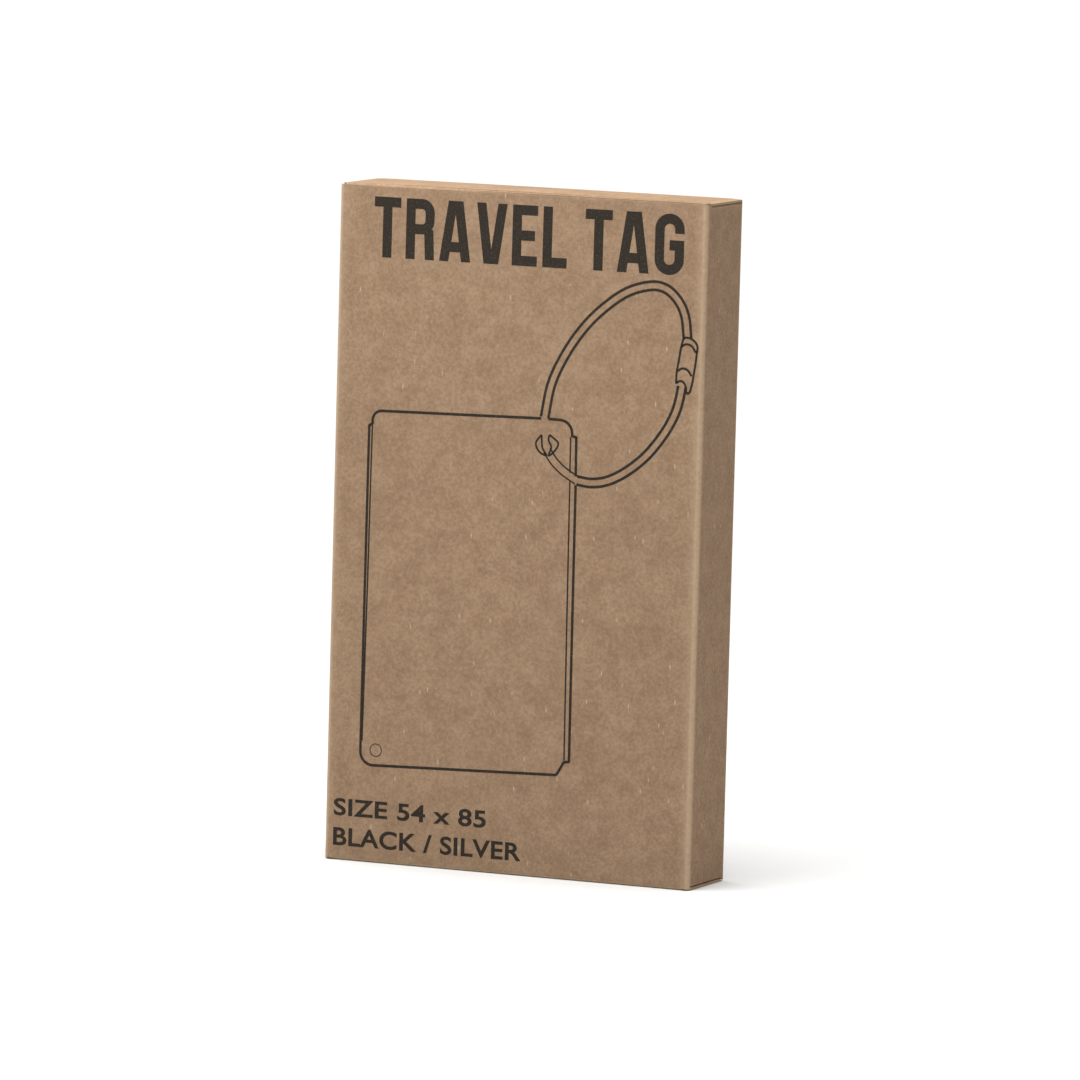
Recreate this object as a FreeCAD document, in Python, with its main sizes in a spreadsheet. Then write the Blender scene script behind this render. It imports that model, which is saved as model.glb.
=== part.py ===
"""Boxed luggage tag: a reverse-tuck carton with a metal luggage tag standing inside it.

Frame: origin at the middle of the carton's base, +X across its width, front panel at -Y, +Z up.
All sizes are in millimetres and degrees.
"""

import FreeCAD, Part
import math
import os
import Sketcher

Vector = FreeCAD.Vector
X_AXIS = Vector(1, 0, 0)
Z_AXIS = Vector(0, 0, 1)

# Driving sizes: alias, value, what it is.
DRIVING = (
    ("carton_width", 88, "outside width of the carton"),
    ("carton_depth", 20, "outside depth of the carton"),
    ("carton_height", 150, "outside height of the carton"),
    ("board", 0.5, "thickness of the carton board"),
    ("edge_gap", 0.1, "gap round a closed lid"),
    ("rim_drop", 0.3, "how far a panel's cut edge stays short of the lid's outer face"),
    ("lid_side_gap", 0.3, "how far a lid stays inside the carton's sides"),
    ("tuck_length", 10, "crease to tip of a tuck flap"),
    ("tuck_lean", 18, "inward lean of a closed tuck flap, degrees"),
    ("tuck_side_gap", 0.2, "gap between a tuck flap and the glue flap beside it"),
    ("tuck_round", 7, "corner radius of a tuck flap"),
    ("crease_gap", 0.04, "relief between a tuck flap and its lid"),
    ("dust_length", 13, "crease to tip of a dust flap"),
    ("dust_notch", 3.5, "45 degree cut of a dust flap beside the lid's hinge"),
    ("dust_rear_taper", 3.5, "further narrowing of that edge up to the tip"),
    ("dust_front_gap", 2.4, "dust flap's set-back on the side where the tuck flap goes in"),
    ("dust_front_taper", 2.8, "narrowing of that edge up to the tip"),
    ("dust_round", 1.5, "corner radius of a dust flap"),
    ("glue_flap_width", 13, "width of the glue flap"),
    ("glue_flap_taper", 5, "slope of the glue flap's ends"),
    ("glue_flap_set_back", 1.5, "glue flap's ends, measured from the closed flaps"),
    ("plate_width", 54, "tag plate over its folded sides"),
    ("plate_height", 85, "tag plate, top to bottom"),
    ("metal", 0.8, "sheet thickness of the tag plate"),
    ("tag_thickness", 2.6, "tag plate over its folded sides, front to back"),
    ("plate_round", 3.8, "corner radius of the tag plate"),
    ("fold_stop", 4.2, "folded sides stop this far from the plate's ends"),
    ("fold_step", 1.4, "plate's ends are this much narrower each side"),
    ("fold_round", 0.7, "outer bend radius of the folded sides"),
    ("lip_width", 3.5, "folded lips, measured from the plate's outer edge"),
    ("hole_diameter", 5.5, "hole for the wire loop"),
    ("hole_from_side", 7.6, "hole centre from the plate's right edge"),
    ("hole_from_top", 6.2, "hole centre from the plate's top"),
    ("tag_side_gap", 2.8, "plate's left edge from the carton's left outside face"),
    ("tag_floor_gap", 0.2, "plate's bottom above the closed bottom flaps"),
    ("tag_front", 6, "plate's front face from the front panel's inside"),
    ("card_play", 0.4, "side play of the card and the film in the plate"),
    ("card_head", 11.3, "card's top edge below the plate's top"),
    ("card_foot", 1.7, "card's bottom edge above the plate's bottom"),
    ("card_sheet", 0.3, "thickness of the card, and of the film"),
    ("card_layer_gap", 0.1, "gap between plate, card and film"),
    ("cable_diameter", 1.6, "wire rope of the loop"),
    ("barrel_diameter", 5.5, "screw barrel"),
    ("collar_diameter", 4.6, "crimped collars at the two ends of the clasp"),
    ("ferrule_collar", 3.2, "length of the lower collar"),
    ("stud_collar", 3.4, "length of the upper collar"),
    ("turning_gap", 0.3, "end play of the screw barrel"),
    ("neck_diameter", 2.5, "neck of the ferrule, on which the barrel turns"),
    ("neck_length", 2, "length of that neck"),
    ("head_diameter", 3.7, "head that the bush holds in the barrel"),
    ("head_length", 1.2, "length of that head"),
    ("socket_diameter", 4.3, "barrel's bore round the head and the bush"),
    ("socket_depth", 3.6, "depth of that bore"),
    ("bush_clearance", 0.2, "bush to neck, all round"),
    ("bush_length", 1.4, "length of the bush"),
    ("stud_diameter", 3, "threaded stud"),
    ("thread_clearance", 0.2, "stud to barrel, all round"),
    ("stud_length", 4.2, "length of the stud inside the barrel"),
    ("barrel_chamfer", 0.5, "chamfer of the barrel's ends"),
)

# Places that several pieces share, worked out from the driving sizes.
DERIVED = (
    ("half_width", "=carton_width / 2"),
    ("half_depth", "=carton_depth / 2"),
    ("front_inside", "=-half_depth + board"),
    ("lid_reach", "=carton_depth - board - edge_gap"),
    ("dust_plane", "=carton_height - board - edge_gap"),
    ("side_bottom", "=2 * board + edge_gap"),
    ("tuck_start", "=board * tan(tuck_lean) + crease_gap"),
    ("tuck_half", "=half_width - 2 * board - tuck_side_gap"),
    ("tag_x", "=-half_width + tag_side_gap"),
    ("tag_y", "=front_inside + tag_front"),
    ("tag_z", "=side_bottom + tag_floor_gap"),
    ("hole_x", "=tag_x + plate_width - hole_from_side"),
    ("hole_y", "=tag_y + metal / 2"),
    ("hole_z", "=tag_z + plate_height - hole_from_top"),
    ("card_x", "=tag_x + metal + card_play"),
    ("card_width", "=plate_width - 2 * metal - 2 * card_play"),
    ("card_height", "=plate_height - card_head - card_foot"),
    ("collar_radius", "=collar_diameter / 2"),
    ("neck_end", "=ferrule_collar + neck_length"),
    ("barrel_start", "=ferrule_collar + turning_gap"),
    ("socket_radius", "=socket_diameter / 2"),
    ("bush_radius", "=neck_diameter / 2 + bush_clearance"),
    ("thread_radius", "=stud_diameter / 2 + thread_clearance"),
)

# The wire loop's route from the stud's end of the clasp, over the top, down behind the plate,
# through the hole and forward round to the ferrule's end. Measured from the hole's centre.
LOOP_ROUTE = (
    (25.9, -0.4, 36.3),
    (24.7, -0.2, 39.7),
    (22.1, 0.1, 42.6),
    (16.1, 0.5, 45.5),
    (6.8, 1.0, 46.2),
    (-2.1, 1.6, 43.3),
    (-9.4, 2.2, 37.2),
    (-13.8, 2.8, 28.5),
    (-14.5, 3.3, 18.7),
    (-11.3, 3.6, 9.5),
    (-4.7, 3.2, 2.1),
    (4.3, -3.2, -1.9),
    (13.6, -3.7, -2.2),
    (22.6, -3.4, 1.0),
    (29.7, -2.9, 7.7),
    (32.5, -2.3, 14.0),
    (32.6, -1.4, 17.9),
    (31.4, -1.2, 21.3),
)


def make_sizes(doc):
    """Fill the spreadsheet with the driving sizes and the places that follow from them."""
    sheet = doc.addObject("Spreadsheet::Sheet", "Sizes")
    row = 0
    for alias, value, note in DRIVING:
        row += 1
        sheet.set(f"A{row}", str(value))
        sheet.setAlias(f"A{row}", alias)
        sheet.set(f"B{row}", note)
    for alias, formula in DERIVED:
        row += 1
        sheet.set(f"A{row}", formula)
        sheet.setAlias(f"A{row}", alias)
    doc.recompute()
    return sheet


def bind(item, **expressions):
    """Bind properties to expressions on the spreadsheet; a double underscore stands for a dot."""
    for name, expression in expressions.items():
        item.setExpression(name.replace("__", "."), expression)


def place(item, x, y, z, axis=X_AXIS, angle=0):
    """Put an object at expressions x, y, z, turned about an axis by a fixed angle or an expression."""
    if isinstance(angle, str):
        item.Placement = FreeCAD.Placement(Vector(), FreeCAD.Rotation(axis, 90))
        bind(item, Placement__Rotation__Angle=angle)
    else:
        item.Placement = FreeCAD.Placement(Vector(), FreeCAD.Rotation(axis, angle))
    bind(item, Placement__Base__x=x, Placement__Base__y=y, Placement__Base__z=z)


def new_body(doc, label):
    body = doc.addObject("PartDesign::Body", label)
    body.Label = label
    return body


def new_sketch(body, name, role):
    """An empty sketch on one of the body's own origin planes."""
    sketch = body.newObject("Sketcher::SketchObject", f"{body.Name}_{name}")
    plane = next(item for item in body.Origin.OriginFeatures if item.Role == role)
    sketch.AttachmentSupport = [(plane, "")]
    sketch.MapMode = "FlatFace"
    return sketch


def draw_outline(sketch, corners):
    """Draw a closed polygon whose corners are tied to expressions, corner by corner."""
    count = len(corners)
    for i in range(count):
        turn = 2 * math.pi / count
        start = Vector(math.cos(i * turn), math.sin(i * turn), 0)
        end = Vector(math.cos((i + 1) * turn), math.sin((i + 1) * turn), 0)
        sketch.addGeometry(Part.LineSegment(start, end), False)
    for i in range(count):
        sketch.addConstraint(Sketcher.Constraint("Coincident", i, 2, (i + 1) % count, 1))
    for i, corner in enumerate(corners):
        for kind, expression in zip(("DistanceX", "DistanceY"), corner):
            index = sketch.addConstraint(Sketcher.Constraint(kind, -1, 1, i, 1, 1.0))
            sketch.setExpression(f"Constraints[{index}]", expression)


def pad(body, sketch, length, backwards=False):
    feature = body.newObject("PartDesign::Pad", f"{sketch.Name}_pad")
    feature.Profile = sketch
    feature.Reversed = backwards
    bind(feature, Length=length)
    sketch.Visibility = False
    return feature


def round_corners(body, base, spots, radius):
    """Fillet the edges of base that run along local Z through the given corner spots."""
    names = []
    for index, edge in enumerate(base.Shape.Edges, start=1):
        middle = edge.CenterOfMass
        upright = abs(edge.tangentAt(edge.FirstParameter).z) > 0.99
        if upright and any(math.hypot(middle.x - x, middle.y - y) < 0.01 for x, y in spots):
            names.append(f"Edge{index}")
    fillet = body.newObject("PartDesign::Fillet", f"{body.Name}_rounds")
    fillet.Base = (base, names)
    bind(fillet, Radius=radius)
    return fillet


def board_flap(doc, label, corners, rounds=()):
    """A flat piece of board below local z = 0, with some of its corners rounded.

    corners holds two expressions each; rounds is a list of corner numbers and their radius.
    """
    body = new_body(doc, label)
    sketch = new_sketch(body, "outline", "XY_Plane")
    draw_outline(sketch, corners)
    slab = pad(body, sketch, "Sizes.board", backwards=True)
    doc.recompute()
    if rounds:
        numbers, radius = rounds
        spots = [(sketch.Geometry[i].StartPoint.x, sketch.Geometry[i].StartPoint.y) for i in numbers]
        round_corners(body, slab, spots, radius)
    return body


def board_panel(doc, label, length, width, height, x, y, z):
    """A plain rectangular wall of the carton."""
    panel = doc.addObject("Part::Box", label)
    panel.Label = label
    bind(panel, Length=length, Width=width, Height=height)
    place(panel, x, y, z)
    return panel


def make_sleeve(doc):
    """The four walls of the carton and the flap that glues them into a tube."""
    full = "Sizes.carton_height - Sizes.board - Sizes.rim_drop"
    front = board_panel(doc, "front_panel", "Sizes.carton_width", "Sizes.board", full,
                        "-Sizes.half_width", "-Sizes.half_depth", "Sizes.board")
    back = board_panel(doc, "back_panel", "Sizes.carton_width", "Sizes.board", full,
                       "-Sizes.half_width", "Sizes.half_depth - Sizes.board", "Sizes.rim_drop")
    sides = []
    for label, x in (("left_side_panel", "-Sizes.half_width"),
                     ("right_side_panel", "Sizes.half_width - Sizes.board")):
        sides.append(board_panel(doc, label, "Sizes.board", "Sizes.carton_depth - 2 * Sizes.board",
                                 "Sizes.carton_height - 2 * Sizes.side_bottom",
                                 x, "Sizes.front_inside", "Sizes.side_bottom"))
    bottom = "Sizes.side_bottom + Sizes.glue_flap_set_back"
    top = "Sizes.carton_height - Sizes.side_bottom - Sizes.glue_flap_set_back"
    glue = board_flap(doc, "glue_flap", (
        ("0", bottom),
        ("0", top),
        ("-Sizes.glue_flap_width", f"{top} - Sizes.glue_flap_taper"),
        ("-Sizes.glue_flap_width", f"{bottom} + Sizes.glue_flap_taper"),
    ))
    # Local x runs to the back and local y up, so the board lies on the left side's inner face.
    place(glue, "-Sizes.half_width + 2 * Sizes.board", "Sizes.half_depth - Sizes.board", "0",
          axis=Vector(1, 1, 1), angle=120)
    return [front, back, *sides, glue]


def make_closure(doc, end):
    """Lid, tuck flap and two dust flaps of one end; the bottom is the top turned about X."""
    top = end == "top"
    turn = 0 if top else 180
    sign = "" if top else "-"

    def outward(distance):
        """Expression for a height, measured inwards from this end's outer face."""
        return f"Sizes.carton_height - ({distance})" if top else distance

    lid_half = "(Sizes.half_width - Sizes.lid_side_gap)"
    lid = board_flap(doc, f"{end}_lid", (
        (f"-{lid_half}", "0"),
        (lid_half, "0"),
        (lid_half, "-Sizes.lid_reach"),
        (f"-{lid_half}", "-Sizes.lid_reach"),
    ))
    place(lid, "0", f"{sign}Sizes.half_depth", outward("0"), angle=turn)

    tuck = board_flap(doc, f"{end}_tuck_flap", (
        ("-Sizes.tuck_half", "-Sizes.tuck_start"),
        ("Sizes.tuck_half", "-Sizes.tuck_start"),
        ("Sizes.tuck_half", "-Sizes.tuck_length"),
        ("-Sizes.tuck_half", "-Sizes.tuck_length"),
    ), rounds=((2, 3), "Sizes.tuck_round"))
    place(tuck, "0", f"{sign}(Sizes.half_depth - Sizes.lid_reach)", outward("Sizes.board"),
          angle=f"{turn + 90} + Sizes.tuck_lean")

    flaps = [lid, tuck]
    for side, hand in (("left", "-"), ("right", "")):
        far = "Sizes.dust_length"
        rear = "Sizes.half_depth - Sizes.board - Sizes.edge_gap"
        front = "Sizes.dust_front_gap - Sizes.half_depth"
        inward = "-" if hand == "" else ""
        rear_end = f"{rear} - Sizes.dust_notch - Sizes.dust_rear_taper"
        dust = board_flap(doc, f"{end}_{side}_dust_flap", (
            ("0", rear),
            (f"{inward}Sizes.dust_notch", f"{rear} - Sizes.dust_notch"),
            (f"{inward}{far}", rear_end),
            (f"{inward}{far}", f"{front} + Sizes.dust_front_taper"),
            ("0", front),
        ), rounds=((2, 3), "Sizes.dust_round"))
        place(dust, f"{hand}Sizes.half_width", "0", outward("Sizes.board + Sizes.edge_gap"), angle=turn)
        flaps.append(dust)
    return flaps


def make_tag_plate(doc):
    """A sheet metal plate whose long sides fold back into a channel that holds the card.

    Local x runs across the plate, local y up it and local z out of its front face.
    """
    body = new_body(doc, "tag_plate")
    face = new_sketch(body, "face", "XY_Plane")
    left = "Sizes.fold_step"
    right = "Sizes.plate_width - Sizes.fold_step"
    draw_outline(face, ((left, "0"), (right, "0"), (right, "Sizes.plate_height"), (left, "Sizes.plate_height")))
    blank = pad(body, face, "Sizes.metal", backwards=True)
    doc.recompute()
    spots = [(line.StartPoint.x, line.StartPoint.y) for line in face.Geometry]
    round_corners(body, blank, spots, "Sizes.plate_round")

    # The channel's section, drawn looking down the plate; depths are negative behind the face.
    section = new_sketch(body, "channel", "XZ_Plane")
    bind(section, AttachmentOffset__Base__z="-Sizes.fold_stop")
    inner_right = "Sizes.plate_width - Sizes.metal"
    lip_right = "Sizes.plate_width - Sizes.lip_width"
    lip_depth = "-(Sizes.tag_thickness - Sizes.metal)"
    draw_outline(section, (
        ("0", "0"),
        ("Sizes.plate_width", "0"),
        ("Sizes.plate_width", "-Sizes.tag_thickness"),
        (lip_right, "-Sizes.tag_thickness"),
        (lip_right, lip_depth),
        (inner_right, lip_depth),
        (inner_right, "-Sizes.metal"),
        ("Sizes.metal", "-Sizes.metal"),
        ("Sizes.metal", lip_depth),
        ("Sizes.lip_width", lip_depth),
        ("Sizes.lip_width", "-Sizes.tag_thickness"),
        ("0", "-Sizes.tag_thickness"),
    ))
    channel = pad(body, section, "Sizes.plate_height - 2 * Sizes.fold_stop", backwards=True)
    doc.recompute()

    width = body.Shape.BoundBox.XMax
    depth = body.Shape.BoundBox.ZMin
    names = []
    for index, edge in enumerate(channel.Shape.Edges, start=1):
        spot = edge.CenterOfMass
        along = abs(edge.tangentAt(edge.FirstParameter).y) > 0.99
        at_side = min(abs(spot.x), abs(spot.x - width)) < 0.01
        at_face = min(abs(spot.z), abs(spot.z - depth)) < 0.01
        if along and at_side and at_face:
            names.append(f"Edge{index}")
    bend = body.newObject("PartDesign::Fillet", "tag_plate_bends")
    bend.Base = (channel, names)
    bind(bend, Radius="Sizes.fold_round")
    doc.recompute()

    hole = new_sketch(body, "hole", "XY_Plane")
    hole.addGeometry(Part.Circle(Vector(1, 1, 0), Z_AXIS, 1), False)
    ties = (
        ("DistanceX", (-1, 1, 0, 3), "Sizes.plate_width - Sizes.hole_from_side"),
        ("DistanceY", (-1, 1, 0, 3), "Sizes.plate_height - Sizes.hole_from_top"),
        ("Diameter", (0,), "Sizes.hole_diameter"),
    )
    for kind, target, expression in ties:
        index = hole.addConstraint(Sketcher.Constraint(kind, *target, 1.0))
        hole.setExpression(f"Constraints[{index}]", expression)
    cut = body.newObject("PartDesign::Pocket", "tag_plate_hole_cut")
    cut.Profile = hole
    cut.Type = "ThroughAll"
    place(body, "Sizes.tag_x", "Sizes.tag_y", "Sizes.tag_z", angle=90)
    return body


def make_card_layers(doc):
    """The address card against the plate, and the clear film over it."""
    layers = []
    for number, label in enumerate(("address_card", "card_window")):
        layer = doc.addObject("Part::Box", label)
        layer.Label = label
        bind(layer, Length="Sizes.card_width", Width="Sizes.card_sheet", Height="Sizes.card_height")
        depth = f"{number + 1} * Sizes.card_layer_gap + {number} * Sizes.card_sheet"
        place(layer, "Sizes.card_x", f"Sizes.tag_y + Sizes.metal + {depth}", "Sizes.tag_z + Sizes.card_foot")
        layers.append(layer)
    return layers


def turned_piece(doc, label, profile):
    """A body of revolution about the clasp's axis; the profile's corners are (radius, length).

    The clasp's axis starts at the loop's lower end and points to its upper end.
    """
    body = new_body(doc, label)
    sketch = new_sketch(body, "profile", "XZ_Plane")
    draw_outline(sketch, profile)
    turning = body.newObject("PartDesign::Revolution", f"{label}_turning")
    turning.Profile = sketch
    turning.ReferenceAxis = (sketch, ["V_Axis"])
    turning.Angle = 360
    start = Vector(*LOOP_ROUTE[-1])
    axis = Vector(*LOOP_ROUTE[0]) - start
    rotation = FreeCAD.Rotation(Z_AXIS, axis)
    place(body, f"Sizes.hole_x + ({start.x})", f"Sizes.hole_y + ({start.y})",
          f"Sizes.hole_z + ({start.z})", axis=rotation.Axis, angle=math.degrees(rotation.Angle))
    return body


def make_clasp(doc):
    """Ferrule, barrel with its bush, and threaded stud, along the line between the loop's ends."""
    length = (Vector(*LOOP_ROUTE[0]) - Vector(*LOOP_ROUTE[-1])).Length
    stud_face = f"({length:.4f} - Sizes.stud_collar)"
    barrel_end = f"({stud_face} - Sizes.turning_gap)"
    socket_end = "(Sizes.barrel_start + Sizes.socket_depth)"
    head_end = "(Sizes.neck_end + Sizes.head_length)"
    bush_end = "(Sizes.barrel_start + Sizes.bush_length)"
    barrel_radius = "(Sizes.barrel_diameter / 2)"
    rim = f"{barrel_radius} - Sizes.barrel_chamfer"

    ferrule = turned_piece(doc, "crimp_ferrule", (
        ("0", "0"),
        ("Sizes.collar_radius - Sizes.barrel_chamfer", "0"),
        ("Sizes.collar_radius", "Sizes.barrel_chamfer"),
        ("Sizes.collar_radius", "Sizes.ferrule_collar"),
        ("Sizes.neck_diameter / 2", "Sizes.ferrule_collar"),
        ("Sizes.neck_diameter / 2", "Sizes.neck_end"),
        ("Sizes.head_diameter / 2", "Sizes.neck_end"),
        ("Sizes.head_diameter / 2", head_end),
        ("0", head_end),
    ))
    barrel = turned_piece(doc, "screw_barrel", (
        ("Sizes.socket_radius", "Sizes.barrel_start"),
        (rim, "Sizes.barrel_start"),
        (barrel_radius, "Sizes.barrel_start + Sizes.barrel_chamfer"),
        (barrel_radius, f"{barrel_end} - Sizes.barrel_chamfer"),
        (rim, barrel_end),
        ("Sizes.thread_radius", barrel_end),
        ("Sizes.thread_radius", socket_end),
        ("Sizes.socket_radius", socket_end),
    ))
    bush = turned_piece(doc, "retaining_bush", (
        ("Sizes.bush_radius", "Sizes.barrel_start"),
        ("Sizes.socket_radius", "Sizes.barrel_start"),
        ("Sizes.socket_radius", bush_end),
        ("Sizes.bush_radius", bush_end),
    ))
    stud = turned_piece(doc, "threaded_stud", (
        ("0", f"{barrel_end} - Sizes.stud_length"),
        ("Sizes.stud_diameter / 2", f"{barrel_end} - Sizes.stud_length"),
        ("Sizes.stud_diameter / 2", stud_face),
        ("Sizes.collar_radius", stud_face),
        ("Sizes.collar_radius", f"{length:.4f} - Sizes.barrel_chamfer"),
        ("Sizes.collar_radius - Sizes.barrel_chamfer", f"{length:.4f}"),
        ("0", f"{length:.4f}"),
    ))
    return [ferrule, barrel, bush, stud]


def route_wire(points, diameter):
    """Straight runs joined by tangent arcs, each as large as its two runs allow."""
    share = 0.45
    edges = []
    last = points[0]
    for before, corner, after in zip(points, points[1:], points[2:]):
        into = corner - before
        out = after - corner
        turn = into.getAngle(out)
        reach = share * min(into.Length, out.Length)
        radius = reach / math.tan(turn / 2)
        entry = corner - into.normalize() * reach
        leave = corner + out.normalize() * reach
        bisector = (out - into).normalize()
        centre = corner + bisector * math.hypot(reach, radius)
        edges.append(Part.LineSegment(last, entry).toShape())
        edges.append(Part.Arc(entry, centre - bisector * radius, leave).toShape())
        last = leave
        print(f"loop arc {radius:.1f} mm, {radius / diameter:.1f} diameters")
    edges.append(Part.LineSegment(last, points[-1]).toShape())
    return Part.Wire(edges)


def make_cable(doc, sheet):
    """The wire rope as a plain tube between the two ends of the clasp."""
    diameter = sheet.get("cable_diameter")
    wire = route_wire([Vector(*point) for point in LOOP_ROUTE], diameter)
    start = Vector(*LOOP_ROUTE[0])
    along = Vector(*LOOP_ROUTE[1]) - start
    disc = Part.Face(Part.Wire(Part.Circle(start, along, diameter / 2).toShape()))
    tube = Part.Wire(wire.Edges).makePipe(disc)
    expected = disc.Area * wire.Length
    print(f"loop {wire.Length:.1f} mm long, tube {tube.Volume / expected:.3f} of section times length")
    cable = doc.addObject("Part::Feature", "wire_cable")
    cable.Label = "wire_cable"
    cable.Shape = tube
    place(cable, "Sizes.hole_x", "Sizes.hole_y", "Sizes.hole_z")
    return cable


def check(doc, pieces):
    """Stop if any object failed, or if a piece has no sound solid."""
    for item in doc.Objects:
        if "Invalid" in item.State or "Error" in item.State:
            raise RuntimeError(f"{item.Name} failed: {item.State}")
    for piece in pieces:
        shape = piece.Shape
        if shape.isNull() or not shape.isValid() or len(shape.Solids) != 1:
            raise RuntimeError(f"{piece.Label} is not one sound solid")


def main():
    doc = FreeCAD.newDocument("BoxedLuggageTag")
    sheet = make_sizes(doc)
    pieces = make_sleeve(doc)
    pieces += make_closure(doc, "top")
    pieces += make_closure(doc, "bottom")
    pieces.append(make_tag_plate(doc))
    pieces += make_card_layers(doc)
    pieces += make_clasp(doc)
    pieces.append(make_cable(doc, sheet))
    doc.recompute()
    check(doc, pieces)
    os.makedirs("parts", exist_ok=True)
    for piece in pieces:
        piece.Shape.exportStep(f"parts/{piece.Label}.step")
    print(f"{len(pieces)} pieces written")


main()
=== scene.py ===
"""Boxed luggage tag: a folding carton of brown board, with a metal tag, its card and its wire loop inside.

Every length is in metres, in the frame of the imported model, and every place comes from that model's own
boxes. New surfaces are grids of points worked out as whole arrays, and each function says its formula in
words.
"""

import math

import bmesh
import bpy
import numpy as np
from mathutils import Matrix, Vector


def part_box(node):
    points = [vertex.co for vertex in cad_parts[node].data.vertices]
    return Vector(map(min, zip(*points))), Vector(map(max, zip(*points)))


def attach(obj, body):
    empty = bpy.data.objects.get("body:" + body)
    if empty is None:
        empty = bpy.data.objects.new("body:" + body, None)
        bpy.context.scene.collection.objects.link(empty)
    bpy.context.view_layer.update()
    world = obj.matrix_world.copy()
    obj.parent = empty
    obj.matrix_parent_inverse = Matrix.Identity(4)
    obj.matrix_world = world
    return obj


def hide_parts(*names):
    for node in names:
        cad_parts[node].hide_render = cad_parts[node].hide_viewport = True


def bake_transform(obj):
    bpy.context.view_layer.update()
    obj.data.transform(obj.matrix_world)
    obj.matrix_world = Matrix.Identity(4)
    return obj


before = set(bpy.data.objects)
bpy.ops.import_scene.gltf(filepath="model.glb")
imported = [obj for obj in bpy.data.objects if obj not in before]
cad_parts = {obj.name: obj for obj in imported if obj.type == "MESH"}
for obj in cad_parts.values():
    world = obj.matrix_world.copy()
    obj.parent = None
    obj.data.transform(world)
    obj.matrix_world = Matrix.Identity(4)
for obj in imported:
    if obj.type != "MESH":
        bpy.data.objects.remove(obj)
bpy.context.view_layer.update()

bl_info = {
    "name": "Boxed Luggage Tag",
    "version": (1, 0, 0),
    "blender": (4, 5, 0),
    "location": "View3D > Sidebar > Travel Tag",
    "description": "Builds a folding carton with a metal luggage tag, its card and its wire loop inside",
    "category": "Object",
}

MM = 0.001

# The front softbox: the side of its square, and its place.
SOFTBOX_SIDE = 0.18
SOFTBOX_PLACE = (-0.07, -0.17, 0.36)

# Centre of the tag's hole, from which the loop's route is measured.
HOLE = np.array((5.2, -3.1, 80.1))

# The wire loop's route in mm from the hole: out of the stud's collar, up and round, through the hole, and
# into the ferrule's collar.
LOOP_ROUTE = (
    (25.9, -0.4, 36.3),
    (24.7, -0.2, 39.7),
    (22.1, 0.1, 42.6),
    (16.1, 0.5, 45.5),
    (6.8, 1.0, 46.2),
    (-2.1, 1.6, 43.3),
    (-9.4, 2.2, 37.2),
    (-13.8, 2.8, 28.5),
    (-14.5, 3.3, 18.7),
    (-11.3, 3.6, 9.5),
    (-4.7, 3.2, 2.1),
    (4.3, -3.2, -1.9),
    (13.6, -3.7, -2.2),
    (22.6, -3.4, 1.0),
    (29.7, -2.9, 7.7),
    (32.5, -2.3, 14.0),
    (32.6, -1.4, 17.9),
    (31.4, -1.2, 21.3),
)


# ---------------------------------------------------------------- sizes and colours


def linear(code):
    """An sRGB hex colour as three linear numbers, by the standard's two-part curve."""
    shares = [int(code[k : k + 2], 16) / 255 for k in (1, 3, 5)]
    return tuple(c / 12.92 if c <= 0.04045 else ((c + 0.055) / 1.055) ** 2.4 for c in shares)


def length_setting(name, description, default):
    """A length that the sidebar shows in scene units."""
    return bpy.props.FloatProperty(
        name=name, description=description, default=default, unit="LENGTH", subtype="DISTANCE", precision=5
    )


def colour_setting(name, description, code):
    """A colour that the sidebar shows as a swatch."""
    return bpy.props.FloatVectorProperty(
        name=name, description=description, default=linear(code), size=3, subtype="COLOR", min=0.0, max=1.0
    )


class CartonSettings(bpy.types.PropertyGroup):
    """Sizes and colours of the folded carton and its print."""

    fold_radius: length_setting("Fold radius", "Radius of a crease, at the middle of the board", 0.9 * MM)
    lid_radius: length_setting("Lid fold radius", "Radius of the lids' and dust flaps' creases", 0.7 * MM)
    bulge: length_setting("Panel bulge", "How far the middle of the large panels stands out", 0.25 * MM)
    ink_lift: length_setting("Ink thickness", "How far the dark ink stands on the board", 0.02 * MM)
    board_light: colour_setting("Board, light", "Lighter patches of the brown board", "#a68a6f")
    board_dark: colour_setting("Board, dark", "Darker patches of the brown board", "#977b61")
    # Paler fold colour: partly real scuffing, partly a painted highlight; the cut edge mixes in a little.
    crease: colour_setting("Worn and highlit crease", "Board where a fold has scuffed it", "#c4aa8d")
    ink: colour_setting("Ink", "Dark print on the front", "#2c2620")


class TagSettings(bpy.types.PropertyGroup):
    """Sizes and colours of the metal tag and its loop."""

    plate: colour_setting("Plate", "Black anodised plate", "#26272a")
    steel: colour_setting("Steel", "Turned stainless steel", "#c4c4c1")
    plate_edge: length_setting("Plate edge", "Width of the plate's broken edges", 0.12 * MM)
    rope_diameter: length_setting("Rope diameter", "Outside of the twisted wire rope", 1.6 * MM)
    rope_lay: length_setting("Rope lay", "Length in which a strand goes once round the rope", 9.0 * MM)
    knurl_depth: length_setting("Knurl depth", "Depth of the barrel's diamond grooves", 0.16 * MM)
    knurl_pitch: length_setting("Knurl pitch", "Length of one diamond along the barrel", 0.9 * MM)


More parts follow.
